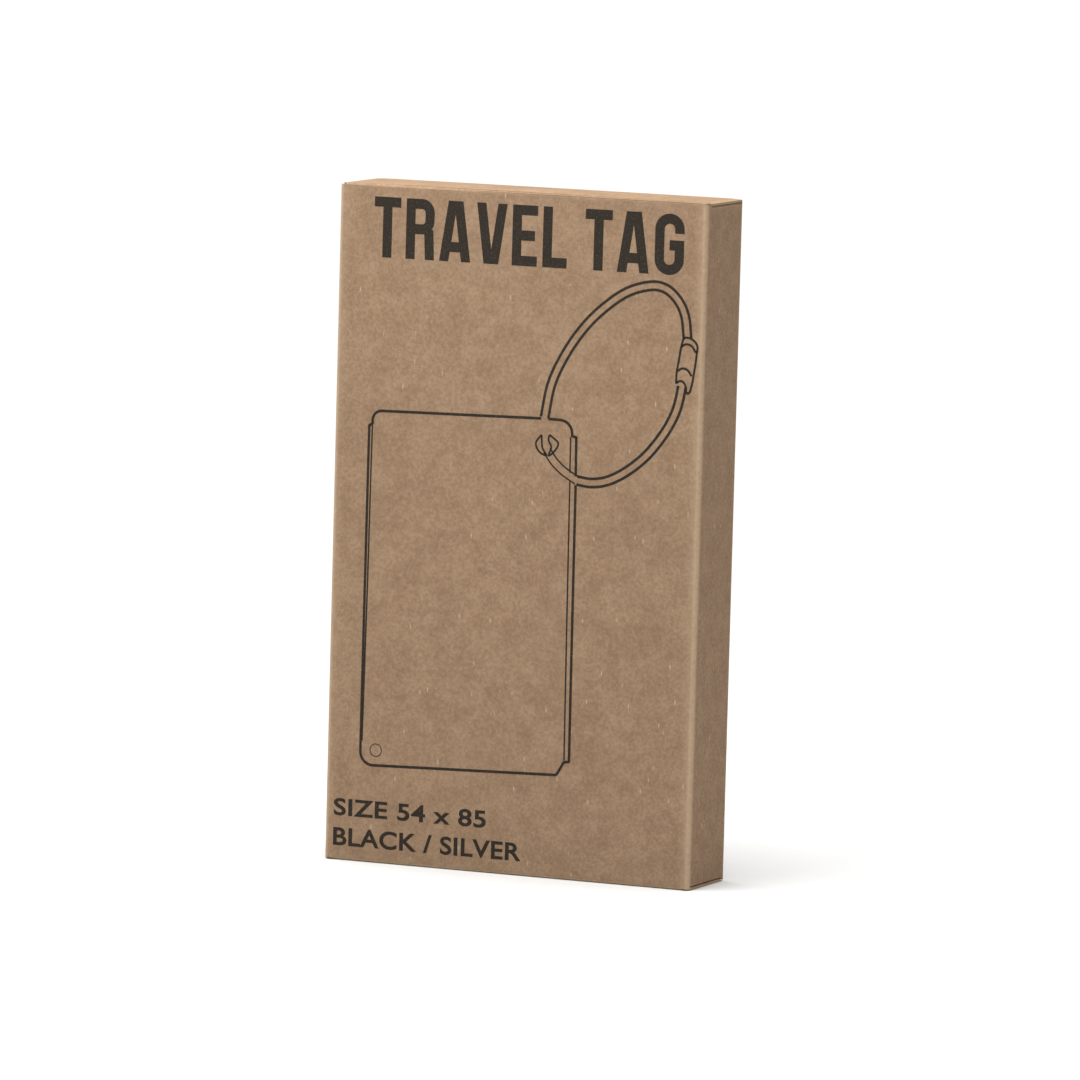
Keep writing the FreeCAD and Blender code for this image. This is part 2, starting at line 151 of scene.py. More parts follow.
class StudioSettings(bpy.types.PropertyGroup):
    """The camera, the floor and the lights."""

    lens: bpy.props.FloatProperty(
        name="Lens", description="Focal length", default=319.2, min=1.0, unit="CAMERA"
    )
    azimuth: bpy.props.FloatProperty(
        name="Azimuth", description="Camera's turn to the right of the front", default=math.radians(24.04),
        unit="ROTATION", subtype="ANGLE",
    )
    elevation: bpy.props.FloatProperty(
        name="Elevation", description="Camera's rise above level", default=math.radians(6.14),
        unit="ROTATION", subtype="ANGLE",
    )
    roll: bpy.props.FloatProperty(
        name="Roll", description="Camera's turn about its own line of sight", default=math.radians(1.53),
        unit="ROTATION", subtype="ANGLE",
    )
    distance: length_setting("Distance", "From the camera to what it looks at", 2.1)
    floor_width: length_setting("Floor width", "Side of the square floor", 40.0)
    floor: colour_setting("Floor", "Pale matt floor", "#d4d4d3")
    sun: bpy.props.FloatProperty(name="Sun", description="Strength of the soft overhead light", default=4.6,
                                 min=0.0)
    softbox: bpy.props.FloatProperty(
        name="Softbox", description="Power of the near light at the front left", default=0.66, min=0.0
    )
    sky: bpy.props.FloatProperty(name="Sky", description="Strength of the even light", default=0.16, min=0.0)


# ---------------------------------------------------------------- surfaces


def grid_faces(rows, columns, around=False):
    """Four-cornered faces of a grid whose points are numbered row by row; around joins the last column to
    the first.
    """
    row = np.arange(rows - 1)[:, None] * columns
    column = np.arange(columns if around else columns - 1)[None, :]
    beside = (column + 1) % columns
    corners = (row + column, row + beside, row + columns + beside, row + columns + column)
    return np.stack(np.broadcast_arrays(*corners), -1).reshape(-1, 4)


def finish_mesh(name, points, faces, materials, second=(), attributes=None, smooth=40.0):
    """A piece at the origin: doubles merged, faces turned outward, and edges sharper than smooth degrees
    kept sharp.

    second holds the numbers of the faces with the second material; attributes holds one number per point.
    """
    mesh = bpy.data.meshes.new(name)
    mesh.from_pydata(np.asarray(points, float).reshape(-1, 3).tolist(), [], faces)
    for material in materials:
        mesh.materials.append(material)
    if len(second):
        index = np.zeros(len(mesh.polygons), np.int32)
        index[np.asarray(second)] = 1
        mesh.polygons.foreach_set("material_index", index)
    for key, values in (attributes or {}).items():
        layer = mesh.attributes.new(key, "FLOAT", "POINT")
        layer.data.foreach_set("value", np.asarray(values, np.float32).ravel())
    work = bmesh.new()
    work.from_mesh(mesh)
    bmesh.ops.remove_doubles(work, verts=work.verts, dist=1e-8)
    bmesh.ops.recalc_face_normals(work, faces=work.faces)
    work.to_mesh(mesh)
    work.free()
    mesh.polygons.foreach_set("use_smooth", np.ones(len(mesh.polygons), bool))
    mesh.set_sharp_from_angle(angle=math.radians(smooth))
    piece = bpy.data.objects.new(name, mesh)
    bpy.context.scene.collection.objects.link(piece)
    return piece


def rounded_path(corners, radius, steps):
    """A line through corners, each rounded to one radius: runs in equal steps, joined by arcs that touch
    both runs.

    An arc's centre is one radius inward from the end of its run, and its points turn about it from run to
    run.
    """
    corners = np.array(corners, float)
    runs = np.diff(corners, axis=0)
    ways = runs / np.linalg.norm(runs, axis=1)[:, None]
    turns = np.arccos(np.clip((ways[:-1] * ways[1:]).sum(1), -1, 1))
    setback = radius * np.tan(turns / 2)
    begins = corners[:-1] + ways * np.r_[0, setback][:, None]
    ends = corners[1:] - ways * np.r_[setback, 0][:, None]
    parts = []
    for k, step in enumerate(steps):
        count = max(2, round(float(np.linalg.norm(ends[k] - begins[k]) / step)) + 1)
        share = np.linspace(0, 1, count)[:, None]
        parts.append(begins[k] * (1 - share) + ends[k] * share)
        if k < len(turns):
            inward = ways[k + 1] - ways[k] * math.cos(turns[k])
            inward /= np.linalg.norm(inward)
            angle = np.linspace(0, turns[k], 12)[1:-1, None]
            centre = ends[k] + inward * radius
            parts.append(centre + radius * (ways[k] * np.sin(angle) - inward * np.cos(angle)))
    return np.concatenate(parts)


def distance_along(path):
    """Length of the line from its first point to each point."""
    return np.r_[0, np.cumsum(np.linalg.norm(np.diff(path, axis=0), axis=1))]


def smooth_line(points, per=10):
    """A smooth line through the points: between two of them, the cubic that has their neighbours' slopes."""
    p = np.array(points, float)
    p = np.concatenate([[2 * p[0] - p[1]], p, [2 * p[-1] - p[-2]]])
    t = np.linspace(0, 1, per, endpoint=False)[None, :, None]
    a, b, c, d = (p[k : len(p) - 3 + k][:, None, :] for k in range(4))
    curve = 0.5 * (2 * b + (c - a) * t + (2 * a - 5 * b + 4 * c - d) * t**2 + (3 * b - a - 3 * c + d) * t**3)
    return np.concatenate([curve.reshape(-1, p.shape[1]), p[-2:-1]])


def tube(rings):
    """Points and faces of a closed tube: rings of points joined one to the next, and a flat end on the
    first and last.
    """
    rows, columns = rings.shape[:2]
    faces = grid_faces(rows, columns, around=True).tolist()
    last = (rows - 1) * columns
    faces.append(list(range(columns))[::-1])
    faces.append(list(range(last, last + columns)))
    return rings.reshape(-1, 3), faces


def joined(parts):
    """Several pairs of points and faces as one pair."""
    points, faces, first = [], [], 0
    for some_points, some_faces in parts:
        points.append(some_points)
        faces.extend([[first + k for k in face] for face in some_faces])
        first += len(some_points)
    return np.concatenate(points), faces


def turned(profile, start, axis, around, cut=None, closed=False):
    """Points and faces of a turned part: a profile of (radius, distance along) carried round an axis.

    Each point is the axis point, plus the radius times a unit vector that goes round; cut(angle, along,
    radius) gives the radius after knurling or crimping. closed joins the profile's end to its start, for a
    part with a bore.
    """
    profile = np.array(profile, float)
    axis = np.array(axis, float) / np.linalg.norm(axis)
    side = np.cross(axis, (0, 1, 0))
    side /= np.linalg.norm(side)
    up = np.cross(axis, side)
    angle = np.linspace(0, 2 * np.pi, around, endpoint=False)[:, None]
    radius, along = np.broadcast_arrays(profile[None, :, 0], profile[None, :, 1] + 0 * angle)
    if cut:
        radius = cut(angle + 0 * radius, along, radius)
    ring = np.cos(angle)[..., None] * side + np.sin(angle)[..., None] * up
    points = np.array(start) + along[..., None] * axis + radius[..., None] * ring
    rows, columns = points.shape[:2]
    wrapped = np.concatenate([points, points[:1]])
    faces = grid_faces(rows + 1, columns, around=closed) % (rows * columns)
    return wrapped[:rows].reshape(-1, 3), faces.tolist()


def board_piece(name, middle, thickness, materials, wear_and_painted_light):
    """A closed sheet of board: each side is half the thickness from the middle grid along its own normal,
    and a rim of cut edge joins the two sides. The last argument is 1 on scuffed folds, which also carry a
    painted highlight, 0 where the board is clean, and down to -1 in a seam, where a shade is painted.
    """
    normal = np.cross(np.gradient(middle, axis=0), np.gradient(middle, axis=1))
    normal /= np.linalg.norm(normal, axis=-1, keepdims=True)
    rows, columns = middle.shape[:2]
    count = rows * columns
    number = np.arange(count).reshape(rows, columns)
    edge = np.concatenate([number[0, :-1], number[:-1, -1], number[-1, :0:-1], number[:0:-1, 0]])
    beside = np.roll(edge, -1)
    side = grid_faces(rows, columns)
    rim = np.stack([edge, beside, beside + count, edge + count], -1)
    faces = np.concatenate([side, side[:, ::-1] + count, rim])
    points = np.concatenate([middle + normal * thickness / 2, middle - normal * thickness / 2])
    second = np.arange(2 * len(side), len(faces))
    wear_and_painted_light = np.concatenate([wear_and_painted_light, wear_and_painted_light])
    return finish_mesh(name, points, faces.tolist(), materials, second, {"wear_and_painted_light": wear_and_painted_light}, smooth=50.0)


# ---------------------------------------------------------------- materials


# Settings that several nodes share: a smooth rise from 0 to 1 between two limits, and two ways to mix
# colours.
SMOOTH = {"interpolation_type": "SMOOTHSTEP"}
MIX = {"data_type": "RGBA", "blend_type": "MIX"}
MIX_DARKER = {"data_type": "RGBA", "blend_type": "MULTIPLY"}


def add_node(tree, kind, settings=None, inputs=None):
    """Add one shader node, set its properties, and give each input a value or a link from another node's
    socket.
    """
    node = tree.nodes.new("ShaderNode" + kind)
    for key, value in (settings or {}).items():
        setattr(node, key, value)
    for key, value in (inputs or {}).items():
        if isinstance(value, bpy.types.NodeSocket):
            tree.links.new(value, node.inputs[key])
        else:
            node.inputs[key].default_value = value
    return node


def new_material(name, values):
    """A material with its own shader, whose constant sockets are set directly."""
    material = bpy.data.materials.new(name)
    material.use_nodes = True
    tree = material.node_tree
    tree.nodes.clear()
    shader = add_node(tree, "BsdfPrincipled", inputs=values)
    add_node(tree, "OutputMaterial", inputs={"Surface": shader.outputs["BSDF"]})
    return material, tree, shader


def rgba(colour):
    """A linear colour with full alpha."""
    return (*colour[:3], 1.0)


def kraft_colours(tree, carton, place):
    """Clouded brown, with fine grain, dark specks and pale fibres, for board and for its cut edge."""
    # Clouds 4 mm across, where the pulp lies thicker.
    clouds = add_node(tree, "TexNoise",
                      inputs={"Vector": place, "Scale": 1 / (4 * MM), "Detail": 6.0, "Roughness": 0.68})
    # Grain of 0.7 mm, coarser than the real fibres, so that it shows.
    grain = add_node(tree, "TexNoise",
                     inputs={"Vector": place, "Scale": 1 / (0.7 * MM), "Detail": 4.0, "Roughness": 0.65})
    limits = {"Value": clouds.outputs["Fac"], "From Min": 0.3, "From Max": 0.7}
    cloud = add_node(tree, "MapRange", SMOOTH, limits).outputs["Result"]
    tones = {0: cloud, 6: rgba(carton.board_dark), 7: rgba(carton.board_light)}
    brown = add_node(tree, "Mix", MIX, tones).outputs[2]
    limits = {"Value": grain.outputs["Fac"], "From Min": 0.3, "From Max": 0.7}
    fine = add_node(tree, "MapRange", SMOOTH, limits).outputs["Result"]
    tones = {0: fine, 6: rgba(linear("#dedede")), 7: rgba(linear("#ffffff"))}
    pale = add_node(tree, "Mix", MIX, tones).outputs[2]
    tones = {0: 0.9, 6: brown, 7: pale}
    brown = add_node(tree, "Mix", MIX_DARKER, tones).outputs[2]
    # Dark specks about 0.3 mm wide, one in three of the cells 2.6 mm apart.
    specks = add_node(tree, "TexVoronoi", inputs={"Vector": place, "Scale": 1 / (2.6 * MM)})
    limits = {"Value": specks.outputs["Distance"], "From Min": 0.13, "From Max": 0.05}
    speck = add_node(tree, "MapRange", SMOOTH, limits).outputs["Result"]
    limits = {"Value": specks.outputs["Color"], "From Min": 0.56, "From Max": 0.62}
    chosen = add_node(tree, "MapRange", SMOOTH, limits).outputs["Result"]
    dark = add_node(tree, "Math", {"operation": "MULTIPLY"}, {0: speck, 1: chosen}).outputs[0]
    dark = add_node(tree, "Math", {"operation": "MULTIPLY"}, {0: dark, 1: 0.5}).outputs[0]
    tones = {0: dark, 6: brown, 7: rgba(linear("#5d4733"))}
    brown = add_node(tree, "Mix", MIX, tones).outputs[2]
    # Pale fibres about 1.2 mm long, leaning, one in four of the cells.
    lean = {"Vector": place, "Rotation": (0.3, 0.5, 0.2), "Scale": (1.0, 1.0, 0.3)}
    leaning = add_node(tree, "Mapping", inputs=lean).outputs["Vector"]
    fibres = add_node(tree, "TexVoronoi", inputs={"Vector": leaning, "Scale": 1 / (1.7 * MM)})
    limits = {"Value": fibres.outputs["Distance"], "From Min": 0.14, "From Max": 0.04}
    fibre = add_node(tree, "MapRange", SMOOTH, limits).outputs["Result"]
    limits = {"Value": fibres.outputs["Color"], "From Min": 0.55, "From Max": 0.62}
    picked = add_node(tree, "MapRange", SMOOTH, limits).outputs["Result"]
    light = add_node(tree, "Math", {"operation": "MULTIPLY"}, {0: fibre, 1: picked}).outputs[0]
    light = add_node(tree, "Math", {"operation": "MULTIPLY"}, {0: light, 1: 0.45}).outputs[0]
    tones = {0: light, 6: brown, 7: rgba(linear("#d5c0a5"))}
    flecked = add_node(tree, "Mix", MIX, tones).outputs[2]
    return flecked, grain.outputs["Fac"], clouds.outputs["Fac"]


def kraft_board(carton):
    """Uncoated recycled kraft board, calendered: matt, clouded brown, scuffed folds with painted highlight.
    """
    values = {"Roughness": 0.86, "IOR": 1.45, "Specular IOR Level": 0.2}
    material, tree, shader = new_material("uncoated_kraft_board", values)
    place = add_node(tree, "TexCoord").outputs["Object"]
    brown, grain, clouds = kraft_colours(tree, carton, place)
    wear_and_painted_light = add_node(tree, "Attribute", {"attribute_name": "wear_and_painted_light"}).outputs["Fac"]
    # The paler fold colour, scuffing with a painted highlight, breaks up along the fold in lengths of 1 mm.
    broken = add_node(tree, "TexNoise",
                      inputs={"Vector": place, "Scale": 1 / (1.0 * MM), "Detail": 4.0, "Roughness": 0.7})
    patch = add_node(tree, "MapRange",
                     inputs={"Value": broken.outputs["Fac"], "To Min": 0.35, "To Max": 1.0}).outputs[0]
    limits = {"Value": wear_and_painted_light, "From Min": 0.0, "From Max": 1.0}
    worn_and_highlit = add_node(tree, "MapRange", SMOOTH, limits).outputs["Result"]
    scuffed_and_highlit = add_node(tree, "Math", {"operation": "MULTIPLY"}, {0: worn_and_highlit, 1: patch}).outputs[0]
    tones = {0: scuffed_and_highlit, 6: brown, 7: rgba(carton.crease)}
    brown = add_node(tree, "Mix", MIX, tones).outputs[2]
    # Where the attribute falls below nothing, a painted shade darkens the board towards #4f3b2b in a seam.
    limits = {"Value": wear_and_painted_light, "From Min": 0.0, "From Max": -1.0}
    seam_shade = add_node(tree, "MapRange", SMOOTH, limits).outputs["Result"]
    seam_shade = add_node(tree, "Math", {"operation": "MULTIPLY"}, {0: seam_shade, 1: 0.75}).outputs[0]
    tones = {0: seam_shade, 6: brown, 7: rgba(linear("#4f3b2b"))}
    brown_with_seam_shade = add_node(tree, "Mix", MIX, tones).outputs[2]
    tree.links.new(brown_with_seam_shade, shader.inputs["Base Color"])
    rough = {"Value": clouds, "To Min": 0.8, "To Max": 0.93}
    tree.links.new(add_node(tree, "MapRange", inputs=rough).outputs["Result"], shader.inputs["Roughness"])
    height = add_node(tree, "Math", {"operation": "MULTIPLY_ADD"}, {0: scuffed_and_highlit, 1: 0.4, 2: grain}).outputs[0]
    bump = add_node(tree, "Bump", inputs={"Height": height, "Strength": 0.5, "Distance": 0.05 * MM})
    tree.links.new(bump.outputs["Normal"], shader.inputs["Normal"])
    return material


def cut_board(carton):
    """Die-cut edge of the same board: paler, because the knife opens clean fibre, and rougher."""
    values = {"Roughness": 0.95, "IOR": 1.45, "Specular IOR Level": 0.2}
    material, tree, shader = new_material("die_cut_board_edge", values)
    place = add_node(tree, "TexCoord").outputs["Object"]
    brown, grain, _ = kraft_colours(tree, carton, place)
    tones = {0: 0.3, 6: brown, 7: rgba(carton.crease)}
    raw = add_node(tree, "Mix", MIX, tones).outputs[2]
    tree.links.new(raw, shader.inputs["Base Color"])
    bump = add_node(tree, "Bump", inputs={"Height": grain, "Strength": 0.8, "Distance": 0.1 * MM})
    tree.links.new(bump.outputs["Normal"], shader.inputs["Normal"])
    return material


def press_ink(carton):
    """Water-based press ink, sunk into the board: dark and matt, the board's grain faintly through it."""
    values = {"Roughness": 0.75, "IOR": 1.45, "Specular IOR Level": 0.2}
    material, tree, shader = new_material("water_based_press_ink", values)
    place = add_node(tree, "TexCoord").outputs["Object"]
    # Gaps of 0.4 mm where the fibres take less ink.
    gaps = add_node(tree, "TexNoise", inputs={"Vector": place, "Scale": 1 / (0.4 * MM), "Detail": 3.0})
    limits = {"Value": gaps.outputs["Fac"], "From Min": 0.45, "From Max": 0.85}
    gap = add_node(tree, "MapRange", SMOOTH, limits).outputs["Result"]
    tones = {0: gap, 6: rgba(carton.ink), 7: rgba(linear("#493e34"))}
    tone = add_node(tree, "Mix", MIX, tones).outputs[2]
    tree.links.new(tone, shader.inputs["Base Color"])
    bump = add_node(tree, "Bump",
                    inputs={"Height": gaps.outputs["Fac"], "Strength": 0.3, "Distance": 0.03 * MM})
    tree.links.new(bump.outputs["Normal"], shader.inputs["Normal"])
    return material


def anodised_aluminium(tag):
    """Aluminium, bead blasted and black anodised: near black with a soft satin sheen and very fine grain."""
    material, tree, shader = new_material("black_anodised_aluminium", {"Metallic": 1.0, "Roughness": 0.38})
    place = add_node(tree, "TexCoord").outputs["Object"]
    # Blasting dimples of 0.25 mm, coarser than the real 0.1 mm, so that they show.
    blast = add_node(tree, "TexNoise", inputs={"Vector": place, "Scale": 1 / (0.25 * MM), "Detail": 2.0})
    # Handling marks some 12 mm across change only the sheen.
    handling = add_node(tree, "TexNoise", inputs={"Vector": place, "Scale": 1 / (12 * MM), "Detail": 4.0})
    limits = {"Value": blast.outputs["Fac"], "From Min": 0.3, "From Max": 0.7}
    frosted = add_node(tree, "MapRange", SMOOTH, limits).outputs["Result"]
    tones = {0: frosted, 6: rgba(tag.plate), 7: rgba(linear("#313236"))}
    tone = add_node(tree, "Mix", MIX, tones).outputs[2]
    tree.links.new(tone, shader.inputs["Base Color"])
    rough = {"Value": handling.outputs["Fac"], "To Min": 0.3, "To Max": 0.46}
    tree.links.new(add_node(tree, "MapRange", inputs=rough).outputs["Result"], shader.inputs["Roughness"])
    bump = add_node(tree, "Bump",
                    inputs={"Height": blast.outputs["Fac"], "Strength": 0.35, "Distance": 0.02 * MM})
    tree.links.new(bump.outputs["Normal"], shader.inputs["Normal"])
    return material


def turned_metal(name, bright, dull, tilt):
    """Metal turned on a lathe: fine rings across the part's own axis, with duller metal in between."""
    material, tree, shader = new_material(name, {"Metallic": 1.0, "Roughness": 0.27})
    place = add_node(tree, "TexCoord").outputs["Object"]
    # The clasp leans, so the pattern is leant with it; the tool's feed shows as rings 0.18 mm apart.
    leant = add_node(tree, "Mapping",
                     inputs={"Vector": place, "Rotation": (0.0, tilt, 0.0)}).outputs["Vector"]
    rings = add_node(
        tree, "TexWave", {"bands_direction": "Z"},
        {"Vector": leant, "Scale": 0.314 / (0.18 * MM), "Distortion": 0.6, "Detail": 1.0},
    )
    smudge = add_node(tree, "TexNoise", inputs={"Vector": place, "Scale": 1 / (2.5 * MM), "Detail": 4.0})
    limits = {"Value": smudge.outputs["Fac"], "From Min": 0.35, "From Max": 0.7}
    dulled = add_node(tree, "MapRange", SMOOTH, limits).outputs["Result"]
    tones = {0: dulled, 6: rgba(bright), 7: rgba(dull)}
    tone = add_node(tree, "Mix", MIX, tones).outputs[2]
    tree.links.new(tone, shader.inputs["Base Color"])
    rough = {"Value": smudge.outputs["Fac"], "To Min": 0.2, "To Max": 0.36}
    tree.links.new(add_node(tree, "MapRange", inputs=rough).outputs["Result"], shader.inputs["Roughness"])
    bump = add_node(tree, "Bump",
                    inputs={"Height": rings.outputs["Fac"], "Strength": 0.25, "Distance": 0.01 * MM})
    tree.links.new(bump.outputs["Normal"], shader.inputs["Normal"])
    return material


def wire_rope_steel(tag):
    """Drawn stainless wire, twisted into strands: bright on the crowns of the strands, with a painted shade
    darkening the grooves between them.
    """
    material, tree, shader = new_material("stranded_stainless_wire", {"Metallic": 1.0, "Roughness": 0.3})
    groove = add_node(tree, "Attribute", {"attribute_name": "groove"}).outputs["Fac"]
    wires = add_node(tree, "Attribute", {"attribute_name": "wires"}).outputs["Fac"]
    wave = add_node(tree, "Math", {"operation": "SINE"}, {0: wires}).outputs[0]
    # The grooves between the strands are darkened towards #4c4a47: painted shade.
    limits = {"Value": groove, "From Min": 0.1, "From Max": 0.9}
    shaded = add_node(tree, "MapRange", SMOOTH, limits).outputs["Result"]
    tones = {0: shaded, 6: rgba(tag.steel), 7: rgba(linear("#4c4a47"))}
    tone = add_node(tree, "Mix", MIX, tones).outputs[2]
    tree.links.new(tone, shader.inputs["Base Color"])
    rough = {"Value": groove, "To Min": 0.26, "To Max": 0.6}
    tree.links.new(add_node(tree, "MapRange", inputs=rough).outputs["Result"], shader.inputs["Roughness"])
    bump = add_node(tree, "Bump", inputs={"Height": wave, "Strength": 0.5, "Distance": 0.03 * MM})
    tree.links.new(bump.outputs["Normal"], shader.inputs["Normal"])
    return material


def card_stock():
    """Uncoated white card: an off-white matt face with a faint felt mark."""
    material, tree, shader = new_material("uncoated_white_card", {"Roughness": 0.8, "IOR": 1.45})
    place = add_node(tree, "TexCoord").outputs["Object"]
    # Felt mark of 0.7 mm.
    felt = add_node(tree, "TexNoise", inputs={"Vector": place, "Scale": 1 / (0.7 * MM), "Detail": 4.0})
    limits = {"Value": felt.outputs["Fac"], "From Min": 0.3, "From Max": 0.7}
    matted = add_node(tree, "MapRange", SMOOTH, limits).outputs["Result"]
    tones = {0: matted, 6: rgba(linear("#e2ded3")), 7: rgba(linear("#eeebe2"))}
    tone = add_node(tree, "Mix", MIX, tones).outputs[2]
    tree.links.new(tone, shader.inputs["Base Color"])
    bump = add_node(tree, "Bump",
                    inputs={"Height": felt.outputs["Fac"], "Strength": 0.3, "Distance": 0.02 * MM})
    tree.links.new(bump.outputs["Normal"], shader.inputs["Normal"])
    return material


def clear_film():
    """Calendered PVC film: clear and glossy, with slight scuffs that blur what lies behind."""
    values = {"Roughness": 0.08, "IOR": 1.53, "Transmission Weight": 1.0,
              "Base Color": rgba(linear("#f4f7f8"))}
    material, tree, shader = new_material("clear_pvc_film", values)
    place = add_node(tree, "TexCoord").outputs["Object"]
    # Scuffs of 3 mm.
    scuffs = add_node(tree, "TexNoise",
                      inputs={"Vector": place, "Scale": 1 / (3 * MM), "Detail": 5.0, "Roughness": 0.7})
    rough = {"Value": scuffs.outputs["Fac"], "To Min": 0.03, "To Max": 0.14}
    tree.links.new(add_node(tree, "MapRange", inputs=rough).outputs["Result"], shader.inputs["Roughness"])
    return material


def floor_paint(studio):
    """Matt studio paint: plain and pale, with a barely uneven sheen."""
    material, tree, shader = new_material("matt_floor_paint",
                                          {"Roughness": 0.9, "Base Color": rgba(studio.floor)})
    place = add_node(tree, "TexCoord").outputs["Object"]
    # Roller marks of 30 mm.
    roller = add_node(tree, "TexNoise", inputs={"Vector": place, "Scale": 1 / (30 * MM)})
    rough = {"Value": roller.outputs["Fac"], "To Min": 0.86, "To Max": 0.94}
    tree.links.new(add_node(tree, "MapRange", inputs=rough).outputs["Result"], shader.inputs["Roughness"])
    return material


def named_material(name, make, *settings):
    """The material of that name, made the first time it is asked for."""
    return bpy.data.materials.get(name) or make(*settings)


# ---------------------------------------------------------------- studio


def build_studio(studio):
    """Camera, floor, an even sky and one wide soft sun above the front."""
    scene = bpy.context.scene
    scene.view_settings.view_transform = "Standard"
    scene.view_settings.look = "None"
    turn, rise, roll = studio.azimuth, studio.elevation, studio.roll
    forward = Vector((-math.sin(turn) * math.cos(rise), math.cos(turn) * math.cos(rise), -math.sin(rise)))
    level = Vector((math.cos(turn), math.sin(turn), 0))
    upright = level.cross(forward)
    right = level * math.cos(roll) + upright * math.sin(roll)
    above = upright * math.cos(roll) - level * math.sin(roll)
    aim = Vector((3.1, -2.6, 73.5)) * MM
    data = bpy.data.cameras.new("camera")
    data.lens = studio.lens
    data.sensor_width = 36.0
    data.clip_end = 100.0
    camera = bpy.data.objects.new("camera", data)
    scene.collection.objects.link(camera)
    place = aim - forward * studio.distance
    camera.matrix_world = Matrix((
        (right.x, above.x, -forward.x, place.x),
        (right.y, above.y, -forward.y, place.y),
        (right.z, above.z, -forward.z, place.z),
        (0, 0, 0, 1),
    ))
    scene.camera = camera

    half = studio.floor_width / 2
    corners = np.array([(-half, -half, 0), (half, -half, 0), (half, half, 0), (-half, half, 0)])
    mesh = bpy.data.meshes.new("studio_floor")
    mesh.from_pydata(corners.tolist(), [], [(0, 1, 2, 3)])
    mesh.materials.append(floor_paint(studio))
    floor = bpy.data.objects.new("studio_floor", mesh)
    scene.collection.objects.link(floor)

    world = bpy.data.worlds.new("even_sky")
    world.use_nodes = True
    world.node_tree.nodes["Background"].inputs["Color"].default_value = (1, 1, 1, 1)
    world.node_tree.nodes["Background"].inputs["Strength"].default_value = studio.sky
    scene.world = world
    light = bpy.data.lights.new("soft_sun", "SUN")
    light.energy = studio.sun
    light.angle = math.radians(50)
    sun = bpy.data.objects.new("soft_sun", light)
    sun.rotation_euler = Vector((-0.03, -0.05, 1.0)).to_track_quat("Z", "Y").to_euler()
    scene.collection.objects.link(sun)
    light = bpy.data.lights.new("front_softbox", "AREA")
    light.energy = studio.softbox
    light.size = SOFTBOX_SIDE
    softbox = bpy.data.objects.new("front_softbox", light)
    softbox.location = SOFTBOX_PLACE
    softbox.rotation_euler = (softbox.location - aim).to_track_quat("Z", "Y").to_euler()
    scene.collection.objects.link(softbox)


# ---------------------------------------------------------------- the tag and its loop


def loop_line():
    """The loop's smooth line: points read from the spline that has the route's points as its control
    points.
    """
    data = bpy.data.curves.new("loop_line", "CURVE")
    data.dimensions = "3D"
    data.resolution_u = 24
    spline = data.splines.new("NURBS")
    spline.points.add(len(LOOP_ROUTE) - 1)
    places = (np.array(LOOP_ROUTE) + HOLE) * MM
    spline.points.foreach_set("co", np.c_[places, np.ones(len(places))].ravel())
    spline.order_u = 3
    spline.use_endpoint_u = True
    guide = bpy.data.objects.new("loop_line", data)
    mesh = bpy.data.meshes.new_from_object(guide)
    points = np.zeros(len(mesh.vertices) * 3)
    mesh.vertices.foreach_get("co", points)
    bpy.data.objects.remove(guide)
    return points.reshape(-1, 3)


def build_cable(tag):
    """Wire rope: six strands of a third of its diameter round a core, as one skin.

    The skin's radius at an angle a from a strand's crown is two thirds of the rope's radius times cos(a),
    plus the strand's own half chord there; the whole section turns once in a lay as it goes along the
    loop's line.
    """
    line = loop_line()
    along = distance_along(line)
    even = np.linspace(0, along[-1], 420)
    path = np.stack([np.interp(even, along, line[:, k]) for k in range(3)], -1)
    tangent = np.gradient(path, even, axis=0)
    tangent /= np.linalg.norm(tangent, axis=1)[:, None]
    side = np.cross(tangent, (0, 1, 0))
    side /= np.linalg.norm(side, axis=1)[:, None]
    up = np.cross(side, tangent)
    grid = np.linspace(0, 2 * np.pi, 72, endpoint=False)
    crown = (grid + np.pi / 6) % (np.pi / 3) - np.pi / 6
    outline = 2 / 3 * np.cos(crown) + np.sqrt(np.maximum(1 / 9 - 4 / 9 * np.sin(crown) ** 2, 0))
    radius = tag.rope_diameter / 2 * outline
    angle = grid[None, :] + 2 * np.pi * even[:, None] / tag.rope_lay
    ring = np.cos(angle)[..., None] * side[:, None] + np.sin(angle)[..., None] * up[:, None]
    points, faces = tube(path[:, None] + radius[None, :, None] * ring)
    groove = np.broadcast_to((outline.max() - outline) / np.ptp(outline), angle.shape)
    wires = 9 * crown[None, :] + even[:, None] / (0.22 * MM)
    steel = named_material("stranded_stainless_wire", wire_rope_steel, tag)
    cable = finish_mesh("twisted_wire_rope", points, faces, [steel],
                        attributes={"groove": groove, "wires": wires})
    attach(cable, "loop")
    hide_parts("wire_cable")


def crimp_flats(angle, radius):
    """A crimping die's six flats: the radius is kept to a hexagon a little narrower than the round collar."""
    sector = (angle + np.pi / 6) % (np.pi / 3) - np.pi / 6
    return np.minimum(radius, 2.16 * MM / np.cos(sector))


